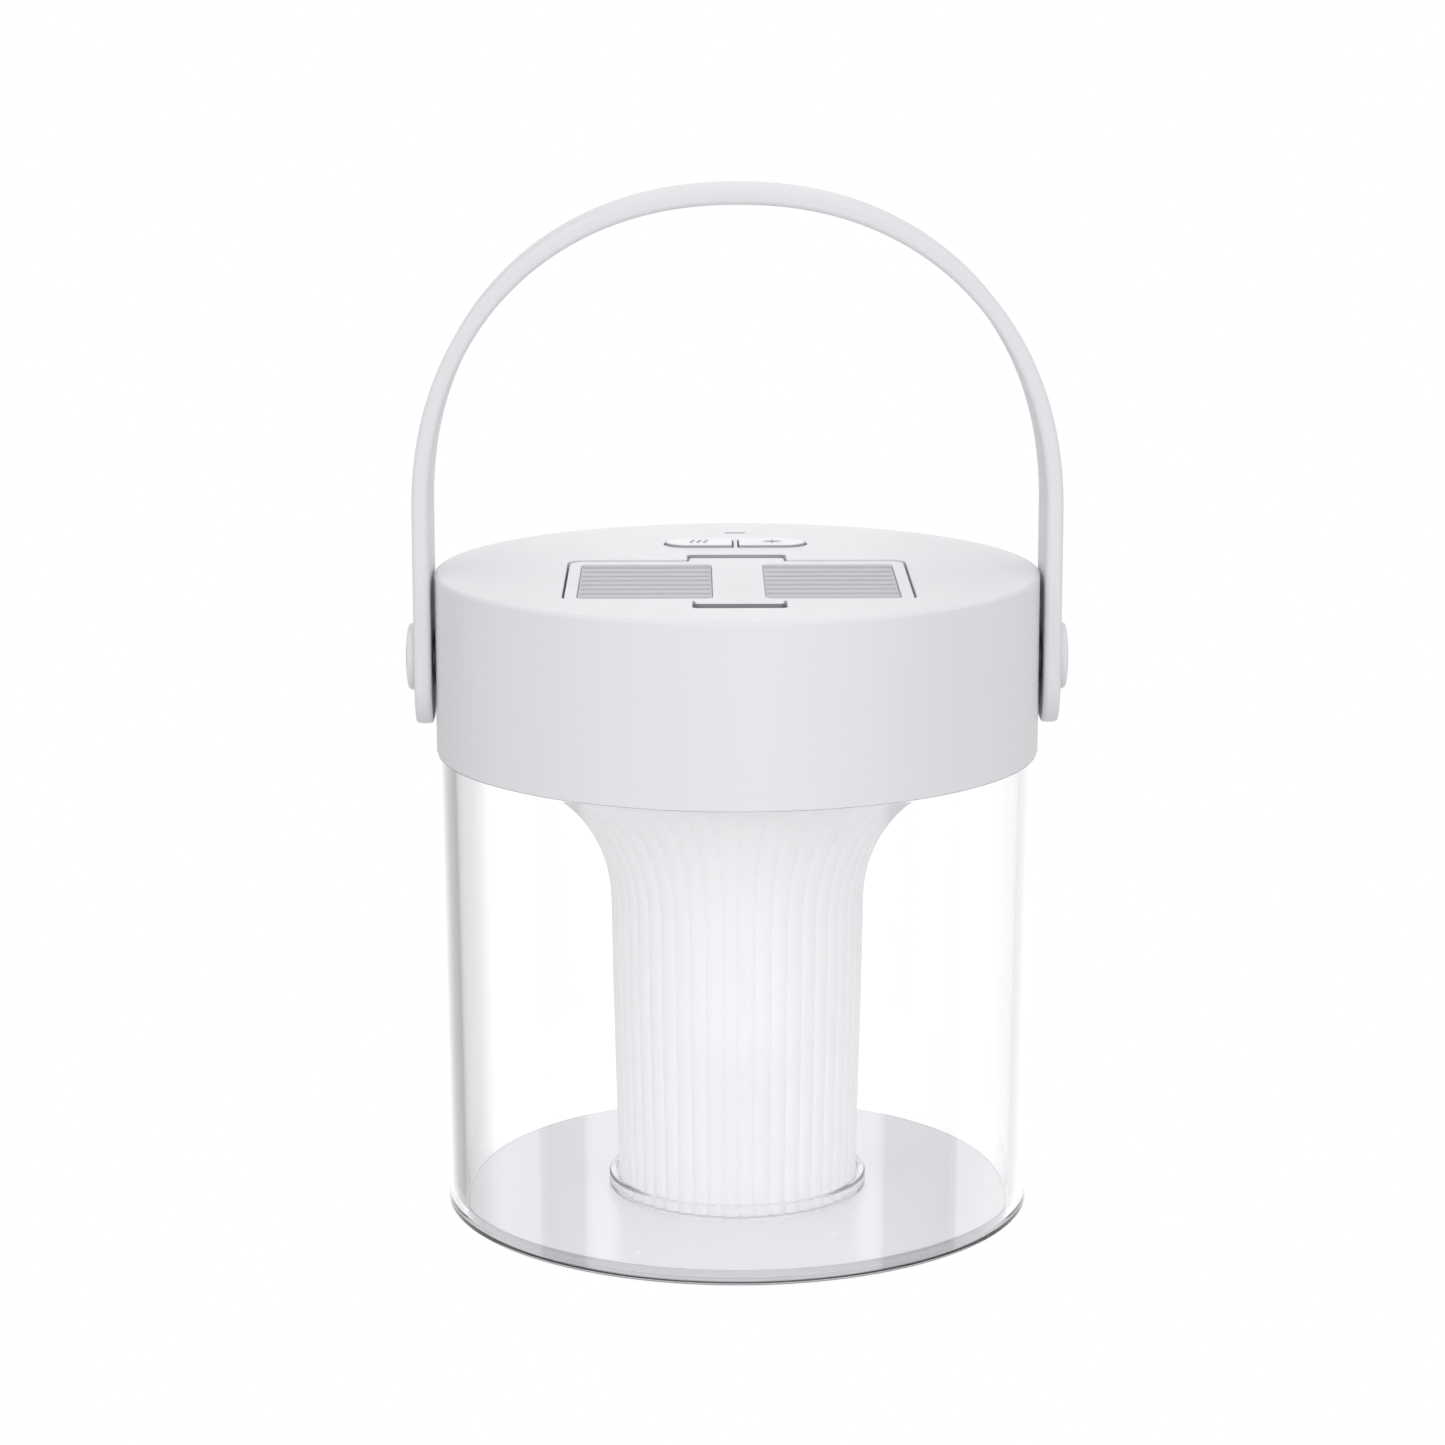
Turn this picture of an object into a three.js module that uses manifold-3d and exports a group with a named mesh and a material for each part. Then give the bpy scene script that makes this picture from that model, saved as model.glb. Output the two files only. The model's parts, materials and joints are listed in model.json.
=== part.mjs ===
// Portable electric mosquito-repellent lantern.
// Millimetres, +Z up. The origin is the centre of the underside, the front is -Y, and the handle's
// pivot axis runs along X.
import * as THREE from 'three';
import { mergeVertices } from 'three/addons/utils/BufferGeometryUtils.js';
import Module from 'manifold-3d';

const wasm = await Module();
wasm.setup();

// ---- driving dimensions -------------------------------------------------------------------------
const GAP = 0.3; // clearance between separate pieces
const PASS = 1; // how far a cutter runs past the faces that it cuts
const HAIR = 0.01; // keeps an arc just short of, or a face just clear of, its exact limit
const WELD = 1e-4; // corners closer than this are one

const HEAD_R = 50;
const HEAD_Z0 = 77.55; // lower rim of the head
const HEAD_Z1 = 107.3; // top face of the head
const HEAD_WALL = 2.2;
const HEAD_FILLET = 0.6;
const HEAD_FOOT_ROUND = 0.5;
const HEAD_IN_R = HEAD_R - HEAD_WALL;
const SKIRT_WALL = 1.4; // the head's wall where it slips over the jar's neck
const HEAD_CEILING = HEAD_Z1 - HEAD_WALL;

const JAR_Z0 = 0.1; // lower rim, a hair above the foot pads' underside
const JAR_FOOT_R = 49.05;
const JAR_TOP_R = 49.95;
const JAR_WALL = 2.9;
const JAR_FOOT_CHAMFER = 0.25;
const JAR_NECK_R = HEAD_R - SKIRT_WALL - GAP;
const JAR_LIP_R = 43.2; // inner radius of the lip that the head floor clamps

const FLOOR_R = 44.8; // head floor, the underside cover
const FLOOR_Z0 = 77.7;
const FLOOR_THICK = 2.4;
const FLOOR_Z1 = FLOOR_Z0 + FLOOR_THICK;
const LIP_Z0 = FLOOR_Z1 + GAP;
const LIP_THICK = 1.6;
const LIP_Z1 = LIP_Z0 + LIP_THICK;
const SHOULDER_Z0 = LIP_Z1 + GAP; // shoulder inside the head, above the jar's lip
const SHOULDER_DEPTH = 2.3;
const SHOULDER_THICK = 1;
const WIRE_HOLE_R = 6; // in the head floor, for the lamp's wires

const BASE_R = JAR_FOOT_R - JAR_WALL - GAP;
const BASE_Z0 = 0.8;
const BASE_Z1 = 2.0;
const BASE_CHAMFER = 0.2;
const PAD_R = 4.5;
const PAD_THICK = 0.5;
const PAD_CIRCLE_R = 34;
const PAD_SIDES = 16;

const DIFFUSER_FOOT_R = 20.1;
const DIFFUSER_MID_R = 20.95;
const DIFFUSER_NECK_R = 21.2; // radius where the flare starts
const DIFFUSER_MID_Z = 36;
const DIFFUSER_NECK_Z = 51.4;
const DIFFUSER_FLARE_R = 24; // radius of the flare's arc
const DIFFUSER_FLARE_END = 80; // degrees of arc
const DIFFUSER_WALL = 1.2;
const DIFFUSER_SIDES = 36;
const FLARE_STEPS = 5;
const COLLAR_R = 21.8;
const COLLAR_TOP_Z = 4.4;
const COLLAR_IN_R = DIFFUSER_FOOT_R + 0.35;
const COLLAR_CHAMFER = 0.25;

const TUBE_R = 9.5; // light tube inside the diffuser
const TUBE_WALL = 1.2;
const TUBE_Z0 = 26;
const TUBE_BEND = 3; // rounding of the closed lower end
const TUBE_SOCKET_DEPTH = 4;
const TUBE_SOCKET_WALL = 1.5;
const LED_BOARD = { halfX: 4.5, halfY: 0.6, z0: 30, z1: 79.5 };
const LED = { size: 2.8, height: 1, count: 5, first: 34, pitch: 9 };

const PIVOT_Z = 92.7;
const STRAP_HALF_WIDTH = 8; // the handle strap is 16 wide, along Y
const STRAP_THICK = 2.8;
const STRAP_OUT_X = 53.2;
const STRAP_IN_X = STRAP_OUT_X - STRAP_THICK;
const STRAP_BEVEL = 0.5;
const ARCH_Z = 117.2; // where the straight legs end and the arch starts
const ARCH_RISE = 53.3;
const ARCH_POWER = 2.16; // superellipse exponent, a circle would be 2
const ARCH_STEPS = 28;
const STRAP_TIP_Z = 81.5;
const CAP_R = 5.55;
const CAP_TOP_X = 54.95;
const CAP_SEAT = 1.0; // depth of the strap's counterbore
const CAP_FALL = 0.6; // how far the domed face falls from its centre to its shoulder
const CAP_SHOULDER = 0.6; // height and width of the rounded shoulder
const PIVOT_SCREW_R = 1.5;
const PIVOT_HEAD_R = 3.1;
const PIVOT_HEAD_THICK = 1.2;
const PIVOT_RECESS = { r: 1.1, depth: 0.6 };
const PIVOT_SCREW_END_X = 41.5;
const PIVOT_BOSS_R = 4;
const PIVOT_BOSS_END_X = 39.5;
const PIVOT_BOSS_BITE = 0.7; // how far the boss runs into the head's wall
const WASHER_R = 4.9;
const WASHER_X0 = 49.3;
const WASHER_X1 = 50.1;

const LID_HALF_X = 27.9;
const LID_Y0 = -29.3;
const LID_Y1 = 9.0;
const LID_CORNER = 2.5;
const LID_SINK = 0.2; // the lid's face lies this far below the head's
const LID_THICK = 1.6;
const LID_Z1 = HEAD_Z1 - LID_SINK;
const LID_Z0 = LID_Z1 - LID_THICK;
const LID_GROOVE = 0.35; // width of the groove round the lid
const TAB_THICK = 1.2;
const TAB_CORNER = 0.8;
const TAB_POCKET_ROOM = 0.4; // under each tab
const BACK_TAB = { halfX: 8.0, y0: LID_Y1 - PASS, y1: 12.4 };
const FRONT_TAB = { halfX: 7.1, y0: -32.2, y1: LID_Y0 + PASS };
const BACK_ROOM = 2.7; // slots beyond the tabs, for a fingernail
const FRONT_ROOM = 5;
const WINDOW = { x0: 4.2, x1: 25.9, y0: -27.2, y1: 5.9, corner: 0.8 };
const GRILLE_DROP = 0.35; // the louvres stand this far below the lid's face
const GRILLE_FLANGE = { x0: 3.2, x1: 26.3, y0: -27.7, y1: 7.4, thick: 0.9 };
const SLOT = { first: 4.5, pitch: 4.19, count: 8, width: 1.1, margin: 0.6 };

const TRAY_WALL = 1.3;
const TRAY_Z0 = 98.4;
const TRAY_FLOOR = 1.2;
const TRAY_FLANGE = 1.5;
const TRAY_FLANGE_Z0 = 103.2;
const PLATE_Z0 = TRAY_Z0 + TRAY_FLOOR + GAP;
const PLATE_THICK = 1;
const PLATE_ROOM = 0.5; // between the plate and the tray's walls
const MAT = { x0: 3.9, x1: 25.9, y0: -27.65, y1: 7.35, thick: 2.8, corner: 1 };
const MAT_Z0 = PLATE_Z0 + PLATE_THICK + GAP;
const PTC = { x0: 9.3, x1: 20.9, y0: -18.4, y1: -1.9, z0: 96.9 };
const CLAMP = { halfX: 24, y0: -14, y1: -6.3, thick: 1.2, corner: 1.5, bossR: 2.6 };
const HEATER_Y = (LID_Y0 + LID_Y1) / 2;
const EAR_X = 33.3; // tray ears and their screws
const EAR_R = 3;
const EAR_Z0 = 99.5;
const EAR_Z1 = 101.1;

const BUTTON = { split: 0.65, halfX: 11.95, y: 26.4, halfY: 3.75, lip: 0.7 };
const BUTTON_WEB = 0.3; // half the width of the head's web between the two buttons
const BUTTON_TOP = HEAD_Z1 + 0.4;
const BUTTON_LIP_Z0 = 103.9;
const BUTTON_STEM_Z0 = 103.5;
const BUTTON_STEM_R = 1.8;
const BUTTON_X = 6.3; // centre of each button, over its switch
const INDICATOR = { halfX: 1.5, y0: 38.2, y1: 38.8 };
const INDICATOR_FLANGE = { halfX: 2.4, y0: 37.9, y1: 39.6, thick: 1.2 };

const BOARD = { halfX: 18.5, y0: 18.5, y1: 43, z0: 98, z1: 99.6 };
const BOARD_HOLES = [[-15.5, 40.5], [15.5, 40.5], [-15.5, 21.5], [15.5, 21.5]];
const BOARD_BOSS_R = 2.6;
const BOARD_CORNER = 1;
const CHIP = { halfX: 3.5, y0: 31.5, y1: 36.5, height: 1 };
const COIL = { x0: 7.5, x1: 13, y0: 19.7, y1: 24.7, height: 3 };
const SWITCH_HALF = 3;
const SWITCH_PLUNGER_R = 1.7;
const SWITCH_BODY_TOP = 102.3;
const SWITCH_PLUNGER_TOP = 102.9;
const USB = { halfX: 4.5, halfZ: 1.6, z: 96.1, y0: 41.5, y1: 48.8, shell: 0.35, floor: 1.2 };
const USB_TONGUE = { halfX: 3.3, halfZ: 0.35, y0: 42, y1: 48 };
const INLET_Y0 = 44.8; // where the inlet's opening starts, inside the head's wall
const BATTERY = { halfX: 27.5, halfY: 17, z0: FLOOR_Z1 + GAP, z1: 89.9, corner: 3 };
const CRADLE_RIB = { thick: 1.4, length: 8, height: 4.5 };

const HEAD_SCREWS = [[-33.5, -14], [33.5, -14], [-27, 24], [27, 24]];
const HEAD_BOSS_R = 3;
const HEAD_BOSS_Z0 = 84;
const HEAD_SCREW = { headR: 2.4, headThick: 1.2, shaftR: 1.2, headZ0: 77.5, tip: 94, sink: 1.3 };
const SMALL_SCREW = { headR: 1.9, headThick: 1.3, shaftR: 1, tipDepth: 1.2, holeDepth: 0.6 };
const RECESS_SCALE = 0.7; // width of a screw's recess against its shaft
const RECESS_SIDES = 6;

const ROUND = 56; // sides of the large round pieces
const MEDIUM = 20; // sides of the middling ones
const SMALL = 8; // sides of screws and bosses

// ---- solids -------------------------------------------------------------------------------------
// A closed geometry as a solid: shared corners merged, slivers dropped and faces turned outwards.
function solid(geometry) {
  const source = geometry.clone();
  for (const name of ['normal', 'uv']) source.deleteAttribute(name);
  const merged = mergeVertices(source, WELD);
  const corners = merged.index.array;
  const points = merged.attributes.position.array;
  const kept = [];
  let volume = 0;
  for (let i = 0; i < corners.length; i += 3) {
    const [a, b, c] = corners.slice(i, i + 3);
    if (a === b || b === c || c === a) continue;
    kept.push(a, b, c);
    const [pa, pb, pc] = [a, b, c].map((k) => new THREE.Vector3().fromArray(points, 3 * k));
    volume += pa.dot(pb.cross(pc));
  }
  if (volume < 0) kept.reverse();
  const mesh = new wasm.Mesh({
    numProp: 3,
    vertProperties: new Float32Array(points),
    triVerts: new Uint32Array(kept),
  });
  return new wasm.Manifold(mesh);
}

function join(first, ...others) {
  return others.reduce((sum, other) => sum.add(other), first);
}

function cut(first, ...others) {
  return others.reduce((rest, other) => rest.subtract(other), first);
}

// Turns a closed outline of [radius, height] points about the Z axis.
function revolve(outline, sides) {
  const points = outline.map(([r, z]) => new THREE.Vector2(r, z));
  if (outline[0][0] > 0) points.push(points[0].clone());
  const lathe = new THREE.LatheGeometry(points, sides);
  return solid(lathe.rotateX(Math.PI / 2));
}

// The same, about the X axis: the outline is [radius, x].
function revolveX(outline, sides, y, z) {
  const points = outline.map(([r, x]) => new THREE.Vector2(r, x));
  if (outline[0][0] > 0) points.push(points[0].clone());
  const lathe = new THREE.LatheGeometry(points, sides);
  return solid(lathe.rotateZ(-Math.PI / 2).translate(0, y, z));
}

// Raises a flat shape from z0 to z1.
function prism(shape, z0, z1, curveSegments = 6) {
  const geometry = new THREE.ExtrudeGeometry(shape, {
    depth: z1 - z0,
    bevelEnabled: false,
    curveSegments,
  });
  return solid(geometry.translate(0, 0, z0));
}

function box(x0, x1, y0, y1, z0, z1) {
  const geometry = new THREE.BoxGeometry(x1 - x0, y1 - y0, z1 - z0);
  return solid(geometry.translate((x0 + x1) / 2, (y0 + y1) / 2, (z0 + z1) / 2));
}

// An upright cylinder.
function rod(radius, x, y, z0, z1, sides = SMALL) {
  const geometry = new THREE.CylinderGeometry(radius, radius, z1 - z0, sides);
  return solid(geometry.rotateX(Math.PI / 2).translate(x, y, (z0 + z1) / 2));
}

// A cylinder along X at the pivot's height.
function pivotRod(radius, x0, x1, sides = MEDIUM) {
  const geometry = new THREE.CylinderGeometry(radius, radius, Math.abs(x1 - x0), sides);
  return solid(geometry.rotateZ(Math.PI / 2).translate((x0 + x1) / 2, 0, PIVOT_Z));
}

function roundedRect(x0, x1, y0, y1, r) {
  const shape = new THREE.Shape();
  shape.absarc(x1 - r, y0 + r, r, -Math.PI / 2, 0);
  shape.absarc(x1 - r, y1 - r, r, 0, Math.PI / 2);
  shape.absarc(x0 + r, y1 - r, r, Math.PI / 2, Math.PI);
  shape.absarc(x0 + r, y0 + r, r, Math.PI, 1.5 * Math.PI);
  shape.closePath();
  return shape;
}

// A span on the right side, or its mirror image on the left.
function mirrored(side, near, far) {
  return side > 0 ? [near, far] : [-far, -near];
}

// A screw standing upright with its head at the bottom.
function screwFromBelow(spec, x, y, headZ0, tip) {
  const headTop = headZ0 + spec.headThick;
  const head = rod(spec.headR, x, y, headZ0, headTop);
  const shaft = rod(spec.shaftR, x, y, headTop - spec.headThick / 2, tip);
  const recessTop = headZ0 + spec.headThick / 2;
  const recess = rod(spec.shaftR * RECESS_SCALE, x, y, headZ0 - PASS, recessTop, RECESS_SIDES);
  return cut(join(head, shaft), recess);
}

// A small screw whose head sits just below the seat that it clamps.
function smallScrew(x, y, seatZ, tip) {
  return screwFromBelow(SMALL_SCREW, x, y, seatZ - GAP - SMALL_SCREW.headThick, tip);
}

// ---- head, jar and base -------------------------------------------------------------------------
function arcPoints(cx, cz, r, fromDeg, toDeg, steps) {
  const points = [];
  for (let i = 0; i <= steps; i += 1) {
    const angle = THREE.MathUtils.degToRad(fromDeg + ((toDeg - fromDeg) * i) / steps);
    points.push([cx + r * Math.cos(angle), cz + r * Math.sin(angle)]);
  }
  return points;
}

function lidOutline(grow) {
  return roundedRect(
    -LID_HALF_X - grow,
    LID_HALF_X + grow,
    LID_Y0 - grow,
    LID_Y1 + grow,
    LID_CORNER + grow,
  );
}

function pillOutline(grow) {
  const reach = BUTTON.halfX + grow;
  const half = BUTTON.halfY + grow;
  return roundedRect(-reach, reach, BUTTON.y - half, BUTTON.y + half, half - HAIR);
}

// Top of the small screws' pilot holes.
const SMALL_HOLE_Z1 = HEAD_CEILING - SMALL_SCREW.holeDepth;

function headShell() {
  const shoulderR = HEAD_IN_R - SHOULDER_DEPTH;
  const cup = revolve([
    [0, HEAD_Z1],
    ...arcPoints(HEAD_R - HEAD_FILLET, HEAD_Z1 - HEAD_FILLET, HEAD_FILLET, 90, 0, 3),
    [HEAD_R, HEAD_Z0 + HEAD_FOOT_ROUND],
    [HEAD_R - HEAD_FOOT_ROUND, HEAD_Z0],
    [HEAD_R - SKIRT_WALL, HEAD_Z0],
    [HEAD_R - SKIRT_WALL, SHOULDER_Z0],
    [shoulderR, SHOULDER_Z0],
    [shoulderR, SHOULDER_Z0 + SHOULDER_THICK],
    [HEAD_IN_R, SHOULDER_Z0 + SHOULDER_THICK + SHOULDER_DEPTH],
    [HEAD_IN_R, HEAD_CEILING],
    [0, HEAD_CEILING],
  ], ROUND);

  const bosses = [];
  for (const [x, y] of HEAD_SCREWS) {
    bosses.push(rod(HEAD_BOSS_R, x, y, HEAD_BOSS_Z0, HEAD_CEILING + PASS));
  }
  for (const [x, y] of BOARD_HOLES) {
    bosses.push(rod(BOARD_BOSS_R, x, y, BOARD.z1 + GAP, HEAD_CEILING + PASS));
  }
  for (const side of [-1, 1]) {
    const bossX = side * (HEAD_IN_R + PIVOT_BOSS_BITE);
    bosses.push(rod(EAR_R, side * EAR_X, 0, EAR_Z1 + GAP, HEAD_CEILING + PASS));
    bosses.push(pivotRod(PIVOT_BOSS_R, side * PIVOT_BOSS_END_X, bossX));
  }

  const cutters = [
    prism(lidOutline(LID_GROOVE), HEAD_CEILING - PASS, HEAD_Z1 + PASS, 3),
    cut(
      prism(pillOutline(LID_GROOVE), HEAD_CEILING - PASS, HEAD_Z1 + PASS, 6),
      box(-BUTTON_WEB, BUTTON_WEB, 0, 2 * BUTTON.y, HEAD_CEILING - 2 * PASS, HEAD_Z1 + 2 * PASS),
    ),
    box(
      -INDICATOR.halfX - GAP,
      INDICATOR.halfX + GAP,
      INDICATOR.y0 - GAP,
      INDICATOR.y1 + GAP,
      HEAD_CEILING - PASS,
      HEAD_Z1 + PASS,
    ),
  ];
  const pocketFloor = LID_Z1 - TAB_THICK - TAB_POCKET_ROOM;
  for (const [tab, y0, y1] of [
    [BACK_TAB, BACK_TAB.y0, BACK_TAB.y1 + BACK_ROOM],
    [FRONT_TAB, FRONT_TAB.y0 - FRONT_ROOM, FRONT_TAB.y1],
  ]) {
    const reach = tab.halfX + LID_GROOVE;
    cutters.push(prism(roundedRect(-reach, reach, y0, y1, TAB_CORNER), pocketFloor, HEAD_Z1 + PASS, 3));
  }
  for (const [x, y] of HEAD_SCREWS) {
    cutters.push(rod(HEAD_SCREW.shaftR + GAP, x, y, HEAD_BOSS_Z0 - PASS, HEAD_SCREW.tip + GAP));
  }
  for (const [x, y] of BOARD_HOLES) {
    cutters.push(rod(SMALL_SCREW.shaftR + GAP, x, y, BOARD.z1, SMALL_HOLE_Z1));
  }
  for (const side of [-1, 1]) {
    const seat = side * (WASHER_X0 - GAP);
    const beyond = side * (HEAD_R + PASS);
    cutters.push(rod(SMALL_SCREW.shaftR + GAP, side * EAR_X, 0, EAR_Z1, SMALL_HOLE_Z1));
    cutters.push(pivotRod(WASHER_R + GAP, seat, beyond));
    cutters.push(pivotRod(PIVOT_SCREW_R + GAP, side * (PIVOT_SCREW_END_X - GAP), beyond));
  }
  const inlet = roundedRect(
    -USB.halfX - GAP,
    USB.halfX + GAP,
    USB.z - USB.halfZ - GAP,
    USB.z + USB.halfZ + GAP,
    USB.halfZ,
  );
  cutters.push(acrossY(inlet, INLET_Y0, HEAD_R + PASS));
  return cut(join(cup, ...bosses), ...cutters);
}

// Runs a shape drawn in X and Z from y0 to y1.
function acrossY(shape, y0, y1) {
  const geometry = new THREE.ExtrudeGeometry(shape, {
    depth: y1 - y0,
    bevelEnabled: false,
    curveSegments: 5,
  });
  return solid(geometry.rotateX(Math.PI / 2).translate(0, y1, 0));
}

function headFloor() {
  const disc = rod(FLOOR_R, 0, 0, FLOOR_Z0, FLOOR_Z1, ROUND);
  const socketR = TUBE_R + GAP;
  const socket = cut(
    rod(socketR + TUBE_SOCKET_WALL, 0, 0, FLOOR_Z0 - TUBE_SOCKET_DEPTH, FLOOR_Z0 + PASS, MEDIUM),
    rod(socketR, 0, 0, FLOOR_Z0 - TUBE_SOCKET_DEPTH - PASS, FLOOR_Z0, MEDIUM),
  );
  const ribs = [];
  const ribTop = FLOOR_Z1 + CRADLE_RIB.height;
  for (const side of [-1, 1]) {
    const [x0, x1] = mirrored(side, BATTERY.halfX + GAP, BATTERY.halfX + GAP + CRADLE_RIB.thick);
    const [y0, y1] = mirrored(side, BATTERY.halfY + GAP, BATTERY.halfY + GAP + CRADLE_RIB.thick);
    ribs.push(box(x0, x1, -CRADLE_RIB.length, CRADLE_RIB.length, FLOOR_Z1 - PASS, ribTop));
    ribs.push(box(-CRADLE_RIB.length, CRADLE_RIB.length, y0, y1, FLOOR_Z1 - PASS, ribTop));
  }
  const holes = [rod(WIRE_HOLE_R, 0, 0, FLOOR_Z0 - PASS, FLOOR_Z1 + PASS, MEDIUM)];
  for (const [x, y] of HEAD_SCREWS) {
    holes.push(rod(HEAD_SCREW.headR + GAP, x, y, FLOOR_Z0 - PASS, FLOOR_Z0 + HEAD_SCREW.sink));
    holes.push(rod(HEAD_SCREW.shaftR + GAP, x, y, FLOOR_Z0, FLOOR_Z1 + PASS));
  }
  return cut(join(disc, socket, ...ribs), ...holes);
}

function clearJar() {
  const neckInR = JAR_TOP_R - JAR_WALL;
  return revolve([
    [JAR_FOOT_R - JAR_FOOT_CHAMFER, JAR_Z0],
    [JAR_FOOT_R, JAR_Z0 + JAR_FOOT_CHAMFER],
    [JAR_TOP_R, HEAD_Z0 - GAP],
    [JAR_NECK_R, HEAD_Z0 - GAP],
    [JAR_NECK_R, LIP_Z1],
    [JAR_LIP_R, LIP_Z1],
    [JAR_LIP_R, LIP_Z0],
    [neckInR, LIP_Z0],
    [neckInR, HEAD_Z0],
    [JAR_FOOT_R - JAR_WALL, JAR_Z0],
  ], ROUND);
}

function basePlate() {
  return revolve([
    [0, BASE_Z0],
    [BASE_R, BASE_Z0],
    [BASE_R, BASE_Z1 - BASE_CHAMFER],
    [BASE_R - BASE_CHAMFER, BASE_Z1],
    [0, BASE_Z1],
  ], ROUND);
}

function footPad(index) {
  const angle = Math.PI / 4 + (index * Math.PI) / 2;
  const x = PAD_CIRCLE_R * Math.cos(angle);
  const y = PAD_CIRCLE_R * Math.sin(angle);
  return rod(PAD_R, x, y, 0, PAD_THICK, PAD_SIDES);
}

// ---- light --------------------------------------------------------------------------------------
// The diffuser's outer line, from the foot up: a slight taper, then the flare's arc.
function diffuserLine(inset) {
  const line = [
    [DIFFUSER_FOOT_R - inset, BASE_Z1 + GAP],
    [DIFFUSER_MID_R - inset, DIFFUSER_MID_Z],
  ];
  for (let i = 0; i <= FLARE_STEPS; i += 1) {
    const angle = THREE.MathUtils.degToRad((DIFFUSER_FLARE_END * i) / FLARE_STEPS);
    const r = DIFFUSER_NECK_R + DIFFUSER_FLARE_R * (1 - Math.cos(angle)) - inset * Math.cos(angle);
    const z = DIFFUSER_NECK_Z + DIFFUSER_FLARE_R * Math.sin(angle) + inset * Math.sin(angle);
    line.push([r, z]);
  }
  const [endR] = line[line.length - 1];
  line.push([endR, FLOOR_Z0 - GAP]);
  return line;
}

function diffuser() {
  const outer = diffuserLine(0);
  const inner = diffuserLine(DIFFUSER_WALL);
  const rim = outer.length - 1;
  outer[rim][0] += DIFFUSER_WALL; // the rim stands up square, one wall thick
  outer[rim - 1][0] += DIFFUSER_WALL / 2;
  return revolve([...outer, ...inner.reverse()], DIFFUSER_SIDES);
}

function diffuserCollar() {
  return revolve([
    [COLLAR_IN_R, BASE_Z1 + GAP],
    [COLLAR_R, BASE_Z1 + GAP],
    [COLLAR_R, COLLAR_TOP_Z - COLLAR_CHAMFER],
    [COLLAR_R - COLLAR_CHAMFER, COLLAR_TOP_Z],
    [COLLAR_IN_R, COLLAR_TOP_Z],
  ], DIFFUSER_SIDES);
}

function lightTube() {
  const bendR = TUBE_R - TUBE_BEND;
  const bendZ = TUBE_Z0 + TUBE_BEND;
  return revolve([
    [0, TUBE_Z0],
    ...arcPoints(bendR, bendZ, TUBE_BEND, -90, 0, 2),
    [TUBE_R, FLOOR_Z0 - GAP],
    [TUBE_R - TUBE_WALL, FLOOR_Z0 - GAP],
    ...arcPoints(bendR, bendZ, TUBE_BEND - TUBE_WALL, 0, -90, 2),
    [0, TUBE_Z0 + TUBE_WALL],
  ], MEDIUM);
}

function ledBoard() {
  const board = box(
    -LED_BOARD.halfX,
    LED_BOARD.halfX,
    -LED_BOARD.halfY,
    LED_BOARD.halfY,
    LED_BOARD.z0,
    LED_BOARD.z1,
  );
  const chips = [];
  const reach = LED_BOARD.halfY + LED.height;
  for (let i = 0; i < LED.count; i += 1) {
    const z = LED.first + i * LED.pitch;
    chips.push(box(-LED.size / 2, LED.size / 2, -reach, reach, z - LED.size / 2, z + LED.size / 2));
  }
  return join(board, ...chips);
}

// ---- handle -------------------------------------------------------------------------------------
// One side of the strap from the left tip over the arch to the right tip, as [x, z].
function archLine(halfX, rise, tipZ) {
  const line = [[-halfX, tipZ]];
  for (let i = 0; i <= ARCH_STEPS; i += 1) {
    const angle = Math.PI - (Math.PI * i) / ARCH_STEPS;
    const bulge = (value) => Math.sign(value) * Math.abs(value) ** (2 / ARCH_POWER);
    line.push([halfX * bulge(Math.cos(angle)), ARCH_Z + rise * bulge(Math.sin(angle))]);
  }
  line.push([halfX, tipZ]);
  return line;
}

function carryHandle() {
  const outer = archLine(STRAP_OUT_X, ARCH_RISE, STRAP_TIP_Z - PASS);
  const inner = archLine(STRAP_IN_X, ARCH_RISE - STRAP_THICK, STRAP_TIP_Z - PASS);
  const outline = [...outer, ...inner.reverse()].map(([x, z]) => new THREE.Vector2(x, z));
  const strap = new THREE.ExtrudeGeometry(new THREE.Shape(outline), {
    depth: 2 * (STRAP_HALF_WIDTH - STRAP_BEVEL),
    bevelThickness: STRAP_BEVEL,
    bevelSize: STRAP_BEVEL,
    bevelOffset: -STRAP_BEVEL,
    bevelSegments: 1,
  });
  strap.rotateX(Math.PI / 2).translate(0, STRAP_HALF_WIDTH - STRAP_BEVEL, 0);

  const tip = new THREE.Shape();
  const tipCentreZ = STRAP_TIP_Z + STRAP_HALF_WIDTH;
  const top = ARCH_Z + ARCH_RISE + PASS;
  tip.absarc(0, tipCentreZ, STRAP_HALF_WIDTH + HAIR, Math.PI, 2 * Math.PI);
  tip.lineTo(STRAP_HALF_WIDTH + HAIR, top);
  tip.lineTo(-STRAP_HALF_WIDTH - HAIR, top);
  tip.closePath();
  const length = 2 * (STRAP_OUT_X + PASS);
  const sideView = new THREE.ExtrudeGeometry(tip, {
    depth: length,
    bevelEnabled: false,
    curveSegments: 16,
  });
  const turn = new THREE.Matrix4().makeBasis(
    new THREE.Vector3(0, 1, 0),
    new THREE.Vector3(0, 0, 1),
    new THREE.Vector3(1, 0, 0),
  );
  sideView.applyMatrix4(turn).translate(-length / 2, 0, 0);

  const holes = [];
  for (const side of [-1, 1]) {
    const outside = side * (STRAP_OUT_X + PASS);
    holes.push(pivotRod(PIVOT_SCREW_R + GAP, side * (STRAP_IN_X - PASS), outside));
    holes.push(pivotRod(CAP_R + GAP, side * (STRAP_OUT_X - CAP_SEAT), outside));
  }
  return cut(solid(strap).intersect(solid(sideView)), ...holes);
}

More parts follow.
